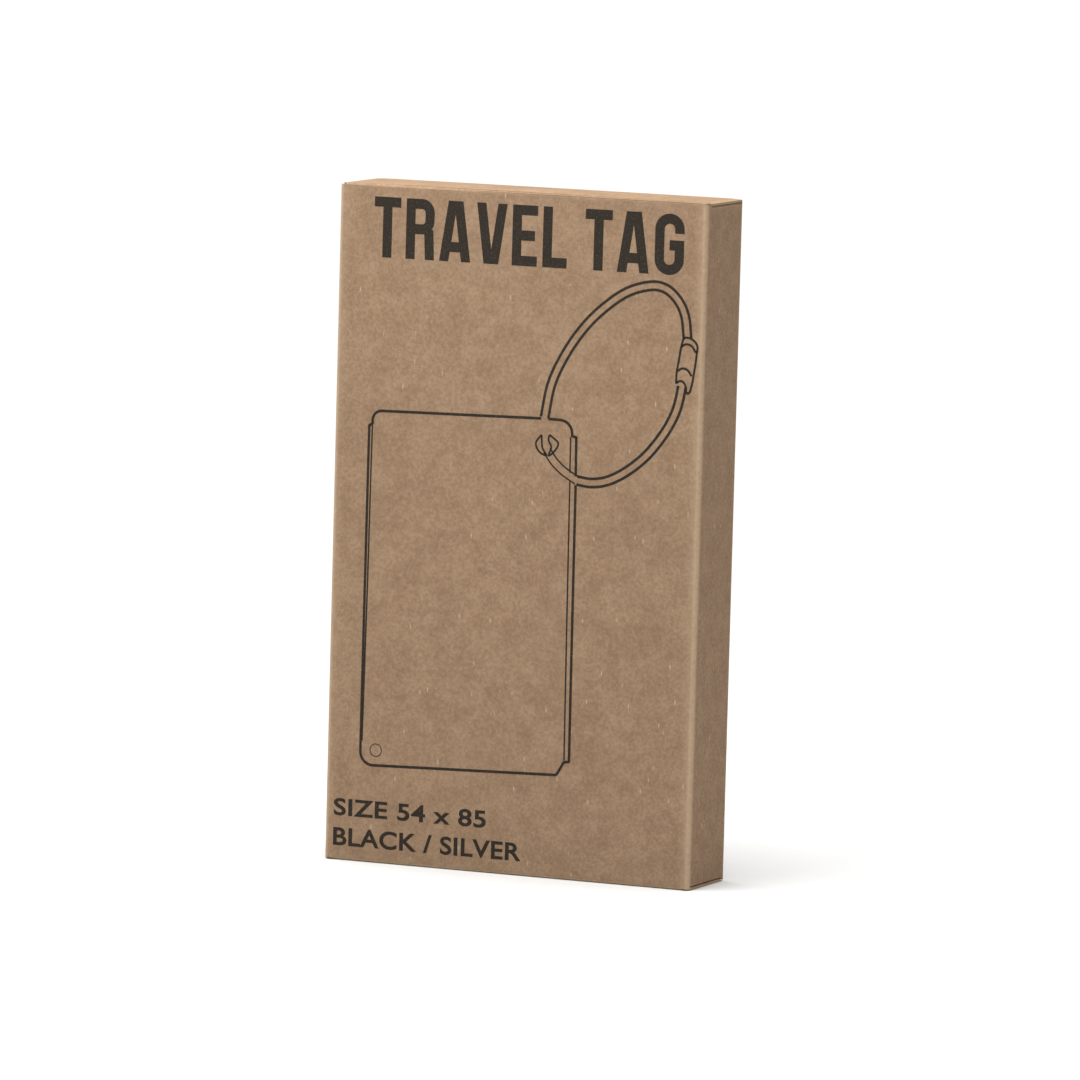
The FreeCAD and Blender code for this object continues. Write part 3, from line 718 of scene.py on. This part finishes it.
def build_clasp(tag):
    """Screw clasp in line between the loop's ends: crimped ferrule, knurled barrel and threaded stud."""
    start = (np.array(LOOP_ROUTE[-1]) + HOLE) * MM
    axis = np.array(LOOP_ROUTE[0]) - np.array(LOOP_ROUTE[-1])
    length = np.linalg.norm(axis)
    tilt = math.atan2(axis[0], axis[2])
    steel = turned_metal("turned_stainless_steel", tag.steel, linear("#9c9b98"), -tilt)
    brass = turned_metal("turned_brass", linear("#c39d52"), linear("#9a7a3d"), -tilt)

    def crimped(angle, along, radius):
        """Flats over the middle of either end collar."""
        middle = np.minimum(np.abs(along - 1.6 * MM), np.abs(along - (length - 1.7) * MM))
        return np.where((middle < 1.0 * MM) & (radius > 2 * MM), crimp_flats(angle, radius), radius)

    def knurled(angle, along, radius):
        """Two sets of grooves, wound left and right: the radius drops where either is near its bottom."""
        turns = 30
        one = np.abs((angle * turns / (2 * np.pi) + along / tag.knurl_pitch) % 1 - 0.5) * 2
        two = np.abs((angle * turns / (2 * np.pi) - along / tag.knurl_pitch) % 1 - 0.5) * 2
        deep = tag.knurl_depth * np.clip(1.6 * np.maximum(one, two) - 0.6, 0, 1)
        band = np.clip((2.2 * MM - np.abs(along - 8.0 * MM)) / (0.15 * MM), 0, 1)
        return np.where(radius > 2.5 * MM, radius - deep * band, radius)

    def threaded(angle, along, radius):
        """A single-start thread: its radius falls and rises once in each 0.5 mm along, a full turn later
        each time.
        """
        wave = np.abs((along / (0.5 * MM) - angle / (2 * np.pi)) % 1 - 0.5) * 2
        shank = (along < 12.4 * MM) & (radius > 1.2 * MM)
        return np.where(shank, radius - 0.22 * MM * wave, crimped(angle, along, radius))

    fine = np.linspace(0.0, 1.0, 13)
    ferrule = [(0, 0), (1.8, 0), (2.3, 0.45), (2.3, 0.6), *[(2.3, 0.6 + 2.0 * k) for k in fine[1:-1]],
               (2.3, 2.6), (2.3, 3.0), (2.1, 3.2), (1.25, 3.2), (1.25, 5.2), (1.85, 5.2), (1.85, 6.4),
               (0, 6.4)]
    grip = np.linspace(5.6, 10.4, 64)
    barrel = [(2.15, 3.5), (2.25, 3.5), (2.6, 3.62), (2.75, 3.95), (2.75, 5.2), (2.6, 5.3), (2.6, 5.45),
              (2.75, 5.55),
              *[(2.75, z) for z in grip], (2.75, 10.45), (2.6, 10.55), (2.6, 10.7), (2.75, 10.8),
              (2.75, 11.87), (2.6, 12.2), (2.25, 12.32), (1.7, 12.32), (1.7, 7.1), (2.15, 7.1)]
    shank = np.linspace(8.3, 12.6, 60)
    stud = [(0, 8.12), (1.2, 8.12), *[(1.5, z) for z in shank], (1.5, 12.62), (2.1, 12.62), (2.3, 12.82),
            *[(2.3, 13.3 + 2.0 * k) for k in fine], (2.3, 15.55), (1.8, length), (0, length)]
    makes = (
        ("crimped_ferrule", ferrule, 72, crimped, False, "loop", "crimp_ferrule"),
        ("knurled_barrel", barrel, 240, knurled, True, "barrel", "screw_barrel"),
        ("threaded_stud_end", stud, 72, threaded, False, "loop", "threaded_stud"),
    )
    for name, profile, around, cut, closed, body, node in makes:
        points, faces = turned(np.array(profile) * MM, start, axis, around, cut, closed)
        piece = finish_mesh(name, points, faces, [steel], smooth=32.0)
        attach(piece, body)
        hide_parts(node)
    paint_node("retaining_bush", brass)


def paint_node(node, material):
    """Give a CAD node that stays its finished material."""
    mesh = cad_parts[node].data
    mesh.materials.clear()
    mesh.materials.append(material)


def build_plate(tag):
    """The CAD plate's own shape, merged and given broken edges that catch the light."""
    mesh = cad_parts["tag_plate"].data.copy()
    mesh.name = "folded_tag_plate"
    work = bmesh.new()
    work.from_mesh(mesh)
    bmesh.ops.remove_doubles(work, verts=work.verts, dist=1e-6)
    bmesh.ops.dissolve_limit(work, angle_limit=math.radians(1), verts=work.verts, edges=work.edges)
    bmesh.ops.recalc_face_normals(work, faces=work.faces)
    work.to_mesh(mesh)
    work.free()
    mesh.materials.clear()
    mesh.materials.append(named_material("black_anodised_aluminium", anodised_aluminium, tag))
    mesh.polygons.foreach_set("use_smooth", np.ones(len(mesh.polygons), bool))
    mesh.set_sharp_from_angle(angle=math.radians(30))
    plate = bpy.data.objects.new("folded_tag_plate", mesh)
    bpy.context.scene.collection.objects.link(plate)
    edge = plate.modifiers.new("broken_edges", "BEVEL")
    edge.width = tag.plate_edge
    edge.segments = 2
    edge.limit_method = "ANGLE"
    edge.angle_limit = math.radians(35)
    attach(plate, "tag")
    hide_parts("tag_plate")


def text_outline(words, weight):
    """Flat words as points in a box one high and one wide, with the text's own faces, thickness from 0 to
    1.
    """
    data = bpy.data.curves.new("words", "FONT")
    data.body = words
    data.offset = weight
    data.extrude = 0.05
    data.resolution_u = 6
    data.space_character = 1.04
    letters = bpy.data.objects.new("words", data)
    mesh = bpy.data.meshes.new_from_object(letters)
    points = np.zeros(len(mesh.vertices) * 3)
    mesh.vertices.foreach_get("co", points)
    points = points.reshape(-1, 3)
    faces = [list(face.vertices) for face in mesh.polygons]
    bpy.data.objects.remove(letters)
    bpy.data.meshes.remove(mesh)
    return (points - points.min(0)) / np.ptp(points, axis=0), faces


def build_card(carton):
    """The card behind the plate, its film, and its printed ruled lines with plain labels."""
    paint_node("address_card", card_stock())
    paint_node("card_window", clear_film())
    low, high = (np.array(corner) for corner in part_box("address_card"))
    ink = named_material("water_based_press_ink", press_ink, carton)
    parts = []
    for row, label in enumerate(("NAME", "ADDRESS", "CITY", "PHONE")):
        base = high[2] - (13.0 + 15.0 * row) * MM
        shape, faces = text_outline(label, 0.0)
        tall = 2.2 * MM
        wide = 1.9 * MM * len(label)
        x = high[0] - 5.0 * MM - shape[:, 0] * wide
        z = base + 3.0 * MM + shape[:, 1] * tall
        y = high[1] + (0.03 * shape[:, 2] - 0.01) * MM
        parts.append((np.stack([x, y, z], -1), faces))
        line = np.array([(high[0] - 5.0 * MM, base), (low[0] + 5.0 * MM, base)])
        left, right = line[:, 0], line[:, 1]
        ring = [(0.15, -0.01), (-0.15, -0.01), (-0.15, 0.02), (0.15, 0.02)]
        rings = np.array([[(a, high[1] + d * MM, b + e * MM) for e, d in ring] for a, b in zip(left, right)])
        parts.append(tube(rings))
    points, faces = joined(parts)
    lines = finish_mesh("card_ruled_lines", points, faces, [ink], smooth=30.0)
    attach(lines, "card")


# ---------------------------------------------------------------- the carton


FRONT = [np.array(corner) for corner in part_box("front_panel")]
BACK = [np.array(corner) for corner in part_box("back_panel")]
SIDE = [np.array(corner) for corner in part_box("right_side_panel")]
GLUE = [np.array(corner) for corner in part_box("glue_flap")]
LID = [np.array(corner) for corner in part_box("top_lid")]
TUCK = [np.array(corner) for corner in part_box("top_tuck_flap")]
DUST = [np.array(corner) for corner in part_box("top_right_dust_flap")]
BOARD = FRONT[1][1] - FRONT[0][1]
TALL = LID[1][2]
FOLD_DROP = 1.0 * MM  # from a fold's outside to where its own piece ends
NOSE = 1.25 * MM  # outside radius of the lid's front crease


def bulge_at(carton, x, z):
    """How far a large panel stands out: the bulge times a half cosine across and a half cosine up."""
    across = np.cos(np.pi * np.clip(x / (2 * FRONT[1][0]), -0.5, 0.5))
    return carton.bulge * across * np.cos(np.pi * np.clip(z / TALL - 0.5, -0.5, 0.5))


def near(along, marks, reach):
    """Fold and seam mask near the marks: the bell curve of the distance to the nearest, in units of reach."""
    gap = np.abs(np.asarray(along)[..., None] - np.asarray(marks)).min(-1)
    return np.exp(-((gap / reach) ** 2))


def board_materials(carton):
    """The board's face and its cut edge."""
    return [
        named_material("uncoated_kraft_board", kraft_board, carton),
        named_material("die_cut_board_edge", cut_board, carton),
    ]


def build_sleeve(carton):
    """The carton's four panels and glue flap, as one board folded round.

    The board's middle line goes round the box with every crease an arc, and is carried upward; each panel's
    top and bottom stand at its own height, and the large panels stand out by the bulge.
    """
    wide = FRONT[1][0] - BOARD / 2
    deep = BACK[1][1] - BOARD / 2
    glue = GLUE[0][0] + BOARD / 2
    corners = [(-wide, SIDE[1][1] - 0.2 * MM), (-wide, -deep), (wide, -deep), (wide, deep), (glue, deep),
               (glue, GLUE[0][1])]
    path = rounded_path(corners, carton.fold_radius, (0.4 * MM, 2.4 * MM, 0.4 * MM, 2.4 * MM, 0.4 * MM))
    along = distance_along(path)
    x, y = path.T
    folds = []
    for corner in corners[1:-1]:
        folds.append(along[np.argmin(np.linalg.norm(path - corner, axis=1))])
    flap = (along > folds[-1]) & (y < deep - 0.5 * MM)
    side = (np.abs(x) > SIDE[0][0]) & (np.abs(y) < deep - carton.fold_radius * 0.8)
    dust_top = side & (y > DUST[0][1]) & (y < DUST[1][1])
    dust_foot = side & (-y > DUST[0][1]) & (-y < DUST[1][1])
    taper = 5.0 * MM * (GLUE[1][1] - y) / (GLUE[1][1] - GLUE[0][1])
    dust_fold = DUST[1][2] - FOLD_DROP
    corner = ~side & (np.abs(x) > wide - 0.9 * MM)
    top = np.select(
        [flap, dust_top, side, corner & (y > 0), y > 0],
        [GLUE[1][2] - taper, dust_fold, SIDE[1][2] + 0.4 * MM, FRONT[1][2], LID[1][2] - FOLD_DROP],
        FRONT[1][2],
    )
    foot = np.select(
        [flap, dust_foot, side, corner | (y > 0)],
        [GLUE[0][2] + taper, TALL - dust_fold, SIDE[0][2] - 0.4 * MM, BACK[0][2]],
        FOLD_DROP,
    )
    rise = (0.5 - 0.5 * np.cos(np.linspace(0, np.pi, 42)))[:, None]
    z = foot[None, :] * (1 - rise) + top[None, :] * rise
    out = bulge_at(carton, x[None, :], z) * (np.abs(y) > deep - 0.3 * MM)
    middle = np.stack([np.broadcast_to(x, z.shape), y[None, :] + np.sign(y)[None, :] * out, z], -1)
    rim = np.exp(-np.minimum(z - foot, top - z) / (0.35 * MM))
    # Paler along every fold, scuffing with a painted highlight, and faintly paler at the top and bottom rims.
    wear_and_painted_light = np.maximum(near(along, folds, 0.7 * MM)[None, :], 0.2 * rim)
    sleeve = board_piece("carton_sleeve", middle, BOARD, board_materials(carton), wear_and_painted_light)
    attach(sleeve, "carton")
    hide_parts("front_panel", "back_panel", "left_side_panel", "right_side_panel", "glue_flap")


def turned_over(points):
    """The same board at the foot: turned half round about the line through the carton's middle, side to
    side.
    """
    return points * (1, -1, -1) + (0, 0, TALL)


def lid_board(carton, crown):
    """The lid's middle grid: up the back panel's last millimetre, over its crease, and forward to the
    tuck's crease.

    It stands up by the crown times cos(pi x / 2w) cos(pi y / 2d), w and d its half sizes, and its cut sides
    droop by 0.12 mm. Beside the sleeve's corners it is 1.23 mm a side narrower, and that falls off as
    exp(-(s / 0.9 mm)^4) along the board.
    """
    level = LID[1][2] - BOARD / 2
    back = LID[1][1] - BOARD / 2
    front = TUCK[0][1] + NOSE
    corners = [(back, LID[1][2] - FOLD_DROP), (back, level), (front, level)]
    path = rounded_path(corners, carton.lid_radius, (0.1 * MM, 0.45 * MM))
    along = distance_along(path)
    left = along[-1] - along
    # Beside the sleeve's corners the sides are relieved, and at the tuck's crease they are pinched in a
    # little.
    overhang = 0.28 * MM
    relief = 1.23 * MM * np.exp(-((along / (0.9 * MM)) ** 4))
    pinch = 0.18 * MM * np.exp(-left / (0.4 * MM))
    half = LID[1][0] + overhang - relief - pinch
    across = np.linspace(-1, 1, 45)
    y, z = path.T
    lengthwise = np.cos(np.pi / 2 * np.clip(y / back, -1, 1))[:, None]
    swell = crown * np.cos(np.pi / 2 * across)[None, :] * lengthwise
    sides = np.exp(-(1 - np.abs(across))[None, :] * half[:, None] / (0.35 * MM))
    droop = 0.12 * MM
    height = z[:, None] + swell - droop * sides
    middle = np.stack([half[:, None] * across, y[:, None] + 0 * swell, height], -1)
    # Paler over the back crease, scuffing with a painted highlight, and along the cut sides.
    wear_and_painted_light = np.maximum(near(along, [0.9 * MM], 0.6 * MM)[:, None], 0.5 * sides)
    start = (0, back, LID[1][2] - FOLD_DROP)
    end = (0, back - carton.lid_radius, level)
    return middle, wear_and_painted_light, start, end


def tuck_board(carton):
    """The tuck flap's middle grid: over the lid's front crease and down inside the front panel, its corners
    rounded.

    At the crease it is as wide as the lid, 1.2 mm a side more than below, and that falls off as exp(-(s /
    0.6 mm)^2) along the board; over the last 7 mm the half width follows a quarter circle in to the free
    edge.
    """
    level = LID[1][2] - BOARD / 2
    front = TUCK[0][1] + NOSE
    radius = NOSE - BOARD / 2
    lean = math.radians(19)
    reach = radius * math.tan((math.pi / 2 + lean) / 2)
    tip = (TUCK[1][1] - BOARD / 2 + 0.05 * MM, TUCK[0][2] + 0.08 * MM)
    path = rounded_path([(front + 0.02 * MM, level), (front - reach, level), tip], radius,
                        (0.1 * MM, 0.3 * MM))
    along = distance_along(path)
    corner = 7.0 * MM
    into = np.clip(along - (along[-1] - corner), 0, corner)
    half = TUCK[1][0] - 0.2 * MM - corner + np.sqrt(np.maximum(corner**2 - into**2, 0))
    half += 1.2 * MM * np.exp(-((along / (0.6 * MM)) ** 2))
    across = np.linspace(-1, 1, 45)
    y, z = path.T
    middle = np.stack([half[:, None] * across, y[:, None] + 0 * across, z[:, None] + 0 * across], -1)
    sides = np.exp(-(1 - np.abs(across))[None, :] * half[:, None] / (0.35 * MM))
    # Round the nose the value drops below nothing: painted shade in the seam, fainter towards the left end.
    seam_shade_spread = np.clip((across + 0.75) / 0.9, 0.2, 1.0)
    wear_and_painted_light = 0.4 * sides - 1.2 * near(along, [0.85 * MM], 0.38 * MM)[:, None] * seam_shade_spread
    start = (0, front, level)
    end = (0, front - radius * math.cos(lean), level - radius * (1 + math.sin(lean)))
    return middle, wear_and_painted_light, start, end


def dust_board(carton, hand):
    """A dust flap's middle grid: over the side panel's crease and level to its free edge, narrowing as it
    goes.
    """
    level = DUST[1][2] - BOARD / 2
    wide = FRONT[1][0] - BOARD / 2
    low = DUST[1][2] - FOLD_DROP
    path = rounded_path([(wide, low), (wide, level), (DUST[0][0], level)], carton.lid_radius,
                        (0.1 * MM, 0.4 * MM))
    along = distance_along(path)
    x, z = path.T
    out = (FRONT[1][0] - x) / MM
    rounding = 1.5 - np.sqrt(np.maximum(1.5**2 - np.clip(out - 11.5, 0, 1.5) ** 2, 0))
    back = np.interp(out, (0, 3.5, 13), (9.4, 5.9, 2.4)) - rounding
    front = np.interp(out, (0, 13), (-7.6, -4.8)) + rounding
    share_across = np.linspace(0, 1, 25)
    y = (front[:, None] + (back - front)[:, None] * share_across) * MM
    middle = np.stack([hand * x[:, None] + 0 * y, y, z[:, None] + 0 * y], -1)
    sides = np.exp(-np.minimum(share_across, 1 - share_across)[None, :] * 14 / 0.35)
    # Paler over the crease, scuffing with a painted highlight, and along the cut sides.
    wear_and_painted_light = np.maximum(near(along, [0.9 * MM], 0.6 * MM)[:, None], 0.5 * sides)
    return middle, wear_and_painted_light, (hand * wide, 0, low), (hand * (wide - carton.lid_radius), 0, level)


def build_closures(carton):
    """Both ends' lids, tuck flaps and dust flaps, each bent across its own crease."""
    for end, crown in (("top", 1.8 * carton.bulge), ("bottom", 0.0)):
        boards = (
            ("carton", "{}_lid", "{}_lid_board", lid_board(carton, crown)),
            ("{}_lid", "{}_tuck_flap", "{}_tuck_board", tuck_board(carton)),
            ("carton", "{}_left_dust_flap", "{}_left_dust_board", dust_board(carton, -1)),
            ("carton", "{}_right_dust_flap", "{}_right_dust_board", dust_board(carton, 1)),
        )
        for still, moving, name, (middle, wear_and_painted_light, start, stop) in boards:
            if end == "bottom":
                middle = turned_over(middle)
                start = turned_over(np.array(start))
                stop = turned_over(np.array(stop))
            piece = board_piece(name.format(end), middle, BOARD, board_materials(carton), wear_and_painted_light)
            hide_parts(moving.format(end))
            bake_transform(piece)


# ---------------------------------------------------------------- the print


def on_front(carton, flat, lift):
    """Points on the front panel: flat holds mm from its lower left corner, lift how far they stand off."""
    x = FRONT[0][0] + flat[..., 0] * MM
    z = flat[..., 1] * MM
    y = FRONT[0][1] - bulge_at(carton, x, z) - lift
    return np.stack([x, y + 0 * x, z], -1)


def ribbon(carton, line, width, side=None, layer=0):
    """A printed line: a flat band carried along the line, half its width to each side, as thick as the ink.

    side is the direction across the band, for a stroke whose ends are cut square to the sheet. A stroke
    that crosses another of its letter is a layer up, a fifth of the ink's thickness, so that their faces
    stay apart.
    """
    line = np.array(line, float)
    if side is None:
        along = np.gradient(line, axis=0)
        side = np.stack([-along[:, 1], along[:, 0]], -1)
        side /= np.linalg.norm(side, axis=1)[:, None]
    half = np.asarray(side, float) * np.broadcast_to(width, len(line))[:, None] / 2
    lift = carton.ink_lift * (1 + 0.2 * layer)
    corners = ((line + half, lift), (line - half, lift), (line - half, -lift / 2), (line + half, -lift / 2))
    return tube(np.stack([on_front(carton, flat, out) for flat, out in corners], 1))


def letter_strokes(letter, wide, tall, stroke):
    """Centre lines of one tall block letter, in mm from its lower left corner."""
    left, right, middle = stroke / 2, wide - stroke / 2, wide / 2
    foot, head, waist = stroke / 2, tall - stroke / 2, tall * 0.5
    turn = (right - left) / 2 - 0.05
    upright = ((left, 0), (left, tall))
    bar = 0.3 * stroke
    strokes = {
        "T": [((0, head), (wide, head)), ((middle, 0), (middle, tall))],
        "L": [upright, ((left, foot), (wide, foot))],
        "E": [upright, ((left, head), (wide, head)), ((left, waist), (wide * 0.9, waist)),
              ((left, foot), (wide, foot))],
        "A": [((left, 0), (middle - bar, tall)), ((right, 0), (middle + bar, tall)),
              ((wide * 0.25, tall * 0.24), (wide * 0.75, tall * 0.24))],
        "V": [((left, tall), (middle - bar, 0)), ((right, tall), (middle + bar, 0))],
        "R": [upright, ((right - 0.25, waist), (right + 0.1, 0)),
              rounded_path([(left, head), (right, head), (right, waist), (left, waist)], turn * 0.85,
                           (1, 1, 1))],
        "G": [((middle, waist - 0.2), (wide, waist - 0.2)), ((right, foot + turn), (right, waist)),
              rounded_path([(right, tall * 0.68), (right, head), (left, head), (left, foot), (right, foot),
                            (right, foot + turn + 0.4)],
                           turn, (1, 1, 1, 1, 1))],
    }
    return strokes[letter]


def title_parts(carton):
    """The title in block capitals, letter by letter, across the top of the front."""
    widths = {"T": 6.4, "R": 6.8, "A": 7.5, "V": 7.3, "E": 6.0, "L": 5.8, "G": 6.9, " ": 1.6}
    title = "TRAVEL TAG"
    gap = (74.1 - sum(widths[letter] for letter in title)) / (len(title) - 1)
    parts, place = [], 8.6
    for letter in title:
        strokes = letter_strokes(letter, widths[letter], 13.3, 2.2) if letter != " " else ()
        for layer, stroke in enumerate(strokes):
            line = np.array(stroke, float) + (place, 134.1)
            side = None
            if len(line) == 2:
                steep = abs(line[1, 1] - line[0, 1]) > abs(line[1, 0] - line[0, 0])
                side = (1, 0) if steep else (0, 1)
            parts.append(ribbon(carton, line, 2.2, side, layer))
        place += widths[letter] + gap
    return parts


def words_parts(carton, words, left, foot, wide, tall):
    """One line of small bold capitals, its own box stretched to the width and height given."""
    shape, faces = text_outline(words, 0.022)
    flat = np.stack([left + shape[:, 0] * wide, foot + shape[:, 1] * tall], -1)
    lift = carton.ink_lift * (1.5 * shape[:, 2] - 0.5)
    return on_front(carton, flat, lift), faces


def drawing_parts(carton):
    """The line drawing of the tag with its loop and clasp, in mm on the front."""
    thick, thin = 0.62, 0.36
    step = 3.0
    outline = (
        rounded_path([(50.0, 101.05), (9.5, 100.25), (9.35, 97.4)], 2.2, (step, 1)),
        [(9.6, 97.6), (8.5, 96.8)],
        rounded_path([(8.6, 97.0), (8.35, 21.6), (55.3, 23.0)], 3.0, (step, step)),
        smooth_line([(55.1, 23.0), (55.9, 23.2), (57.0, 25.0), (57.6, 25.9), (58.9, 26.15)], 5),
        rounded_path([(58.8, 26.0), (58.65, 87.0)], 0.25, (step,)),
        rounded_path([(58.6, 88.9), (58.5, 97.45)], 0.25, (step,)),
        [(58.7, 97.3), (57.4, 97.7)],
        rounded_path([(57.5, 97.5), (57.4, 100.95), (51.7, 101.05)], 2.9, (1, step)),
    )
    parts = [ribbon(carton, line, thick) for line in outline]
    inner = (
        rounded_path([(57.15, 97.4), (57.2, 89.6)], 0.3, (step,)),
        rounded_path([(57.25, 87.7), (57.6, 26.3)], 0.3, (step,)),
        rounded_path([(9.35, 97.3), (9.1, 60.0), (8.7, 27.0)], 0.3, (step, step)),
    )
    parts += [ribbon(carton, line, thin) for line in inner]
    upper = smooth_line([(50.8, 101.3), (52.3, 108.9), (55.6, 115.8), (59.8, 121.7), (64.4, 126.2),
                         (69.6, 129.8),
                         (75.1, 131.5), (78.8, 131.0), (81.7, 128.6), (83.4, 125.3), (84.1, 120.6)])
    lower = smooth_line([(83.1, 110.0), (82.6, 107.2), (81.6, 103.9), (79.2, 99.5), (75.2, 94.5),
                         (70.7, 90.8),
                         (66.4, 88.5), (62.5, 87.7), (58.9, 88.0)])
    over = smooth_line([(58.9, 88.0), (55.6, 89.9), (53.2, 92.0), (51.6, 94.2)])
    for line, width in ((upper, thick), (lower, thick), (over, thin)):
        along = np.gradient(line, axis=0)
        across = np.stack([-along[:, 1], along[:, 0]], -1) / np.linalg.norm(along, axis=1)[:, None]
        parts += [ribbon(carton, line + across * reach, width) for reach in (0.9, -0.9)]
    clasp = (
        [(83.0, 120.2), (83.6, 120.7), (84.8, 120.6), (85.9, 119.9), (86.5, 118.9), (86.4, 117.6)],
        [(83.1, 120.4), (82.6, 118.2), (82.2, 115.6), (81.8, 113.2), (81.7, 110.6)],
        [(86.4, 117.9), (86.2, 115.6), (85.8, 112.9), (85.5, 110.9), (85.0, 109.0)],
        [(82.7, 118.6), (83.3, 119.1), (84.2, 119.3), (85.3, 118.8), (86.1, 117.6)],
        [(82.0, 113.3), (82.6, 113.8), (83.4, 114.0), (84.4, 113.6), (85.3, 112.4)],
        [(81.7, 110.7), (82.3, 111.1), (83.0, 111.2), (83.6, 110.8), (84.0, 110.0), (84.1, 109.2)],
        [(84.0, 109.1), (84.5, 108.6), (85.1, 109.1)],
    )
    parts += [ribbon(carton, smooth_line(line), 0.5) for line in clasp]
    leaves = (
        [(50.2, 97.5), (48.9, 95.6), (49.7, 93.8), (51.5, 93.0), (50.5, 94.6), (50.3, 96.2), (50.2, 97.5)],
        [(52.1, 97.6), (54.2, 95.9), (53.4, 94.1), (52.0, 93.0), (52.6, 94.9), (51.9, 96.4), (52.1, 97.6)],
    )
    parts += [ribbon(carton, smooth_line(line), 0.45) for line in leaves]
    turn = np.linspace(0, 2 * np.pi, 33)
    mark = np.stack([12.1 + 1.4 * np.cos(turn), 25.1 + 1.4 * np.sin(turn)], -1)
    parts.append(ribbon(carton, mark, 0.2))
    return parts


def build_print(carton):
    """The title, the two small lines and the drawing, in one dark ink on the front panel."""
    ink = named_material("water_based_press_ink", press_ink, carton)
    small = [
        words_parts(carton, "SIZE 54 x 85", 2.2, 9.9, 37.0, 3.9),
        words_parts(carton, "BLACK / SILVER", 2.2, 3.2, 45.6, 4.1),
    ]
    for name, parts in (
        ("front_title_ink", title_parts(carton)),
        ("front_small_ink", small),
        ("front_drawing_ink", drawing_parts(carton)),
    ):
        points, faces = joined(parts)
        piece = finish_mesh(name, points, faces, [ink], smooth=30.0)
        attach(piece, "carton")


# ---------------------------------------------------------------- operators, panel and registration


class TRAVELTAG_OT_studio(bpy.types.Operator):
    """Set up the camera, the pale floor and the soft light."""

    bl_idname = "travel_tag.studio"
    bl_label = "Studio"

    def execute(self, context):
        build_studio(context.scene.travel_tag_studio)
        return {"FINISHED"}


class TRAVELTAG_OT_clasp(bpy.types.Operator):
    """Build the loop's screw clasp."""

    bl_idname = "travel_tag.clasp"
    bl_label = "Screw Clasp"

    def execute(self, context):
        build_clasp(context.scene.travel_tag_tag)
        return {"FINISHED"}


class TRAVELTAG_OT_cable(bpy.types.Operator):
    bl_idname = "travel_tag.cable"
    bl_label = "Wire Loop"

    def execute(self, context):
        build_cable(context.scene.travel_tag_tag)
        return {"FINISHED"}


class TRAVELTAG_OT_plate(bpy.types.Operator):
    """Build the folded metal plate."""

    bl_idname = "travel_tag.plate"
    bl_label = "Tag Plate"

    def execute(self, context):
        build_plate(context.scene.travel_tag_tag)
        return {"FINISHED"}


class TRAVELTAG_OT_card(bpy.types.Operator):
    """Finish the address card and its film."""

    bl_idname = "travel_tag.card"
    bl_label = "Address Card"

    def execute(self, context):
        build_card(context.scene.travel_tag_carton)
        return {"FINISHED"}


class TRAVELTAG_OT_sleeve(bpy.types.Operator):
    """Fold the carton's panels from one board."""

    bl_idname = "travel_tag.sleeve"
    bl_label = "Carton Sleeve"

    def execute(self, context):
        build_sleeve(context.scene.travel_tag_carton)
        return {"FINISHED"}


class TRAVELTAG_OT_closures(bpy.types.Operator):
    """Fold the lids, tuck flaps and dust flaps."""

    bl_idname = "travel_tag.closures"
    bl_label = "Lids and Flaps"

    def execute(self, context):
        build_closures(context.scene.travel_tag_carton)
        return {"FINISHED"}


class TRAVELTAG_OT_print(bpy.types.Operator):
    """Print the title, the small lines and the drawing on the front."""

    bl_idname = "travel_tag.print"
    bl_label = "Front Print"

    def execute(self, context):
        build_print(context.scene.travel_tag_carton)
        return {"FINISHED"}


OPERATORS = (
    TRAVELTAG_OT_studio,
    TRAVELTAG_OT_clasp,
    TRAVELTAG_OT_cable,
    TRAVELTAG_OT_plate,
    TRAVELTAG_OT_card,
    TRAVELTAG_OT_sleeve,
    TRAVELTAG_OT_closures,
    TRAVELTAG_OT_print,
)


class TRAVELTAG_PT_panel(bpy.types.Panel):
    """Sidebar panel that lists the steps in order."""

    bl_idname = "TRAVELTAG_PT_panel"
    bl_label = "Boxed Luggage Tag"
    bl_space_type = "VIEW_3D"
    bl_region_type = "UI"
    bl_category = "Travel Tag"

    def draw(self, context):
        for operator in OPERATORS:
            self.layout.operator(operator.bl_idname)


CLASSES = (CartonSettings, TagSettings, StudioSettings, *OPERATORS, TRAVELTAG_PT_panel)


def register():
    """Register every class and give the scene its settings."""
    for cls in CLASSES:
        bpy.utils.register_class(cls)
    bpy.types.Scene.travel_tag_carton = bpy.props.PointerProperty(type=CartonSettings)
    bpy.types.Scene.travel_tag_tag = bpy.props.PointerProperty(type=TagSettings)
    bpy.types.Scene.travel_tag_studio = bpy.props.PointerProperty(type=StudioSettings)


def unregister():
    """Take the settings and the classes away again."""
    del bpy.types.Scene.travel_tag_carton
    del bpy.types.Scene.travel_tag_tag
    del bpy.types.Scene.travel_tag_studio
    for cls in reversed(CLASSES):
        bpy.utils.unregister_class(cls)


def main():
    register()
    bpy.ops.travel_tag.studio()
    bpy.ops.travel_tag.clasp()
    bpy.ops.travel_tag.cable()
    bpy.ops.travel_tag.plate()
    bpy.ops.travel_tag.card()
    bpy.ops.travel_tag.sleeve()
    bpy.ops.travel_tag.closures()
    bpy.ops.travel_tag.print()


if __name__ == "__main__":
    main()
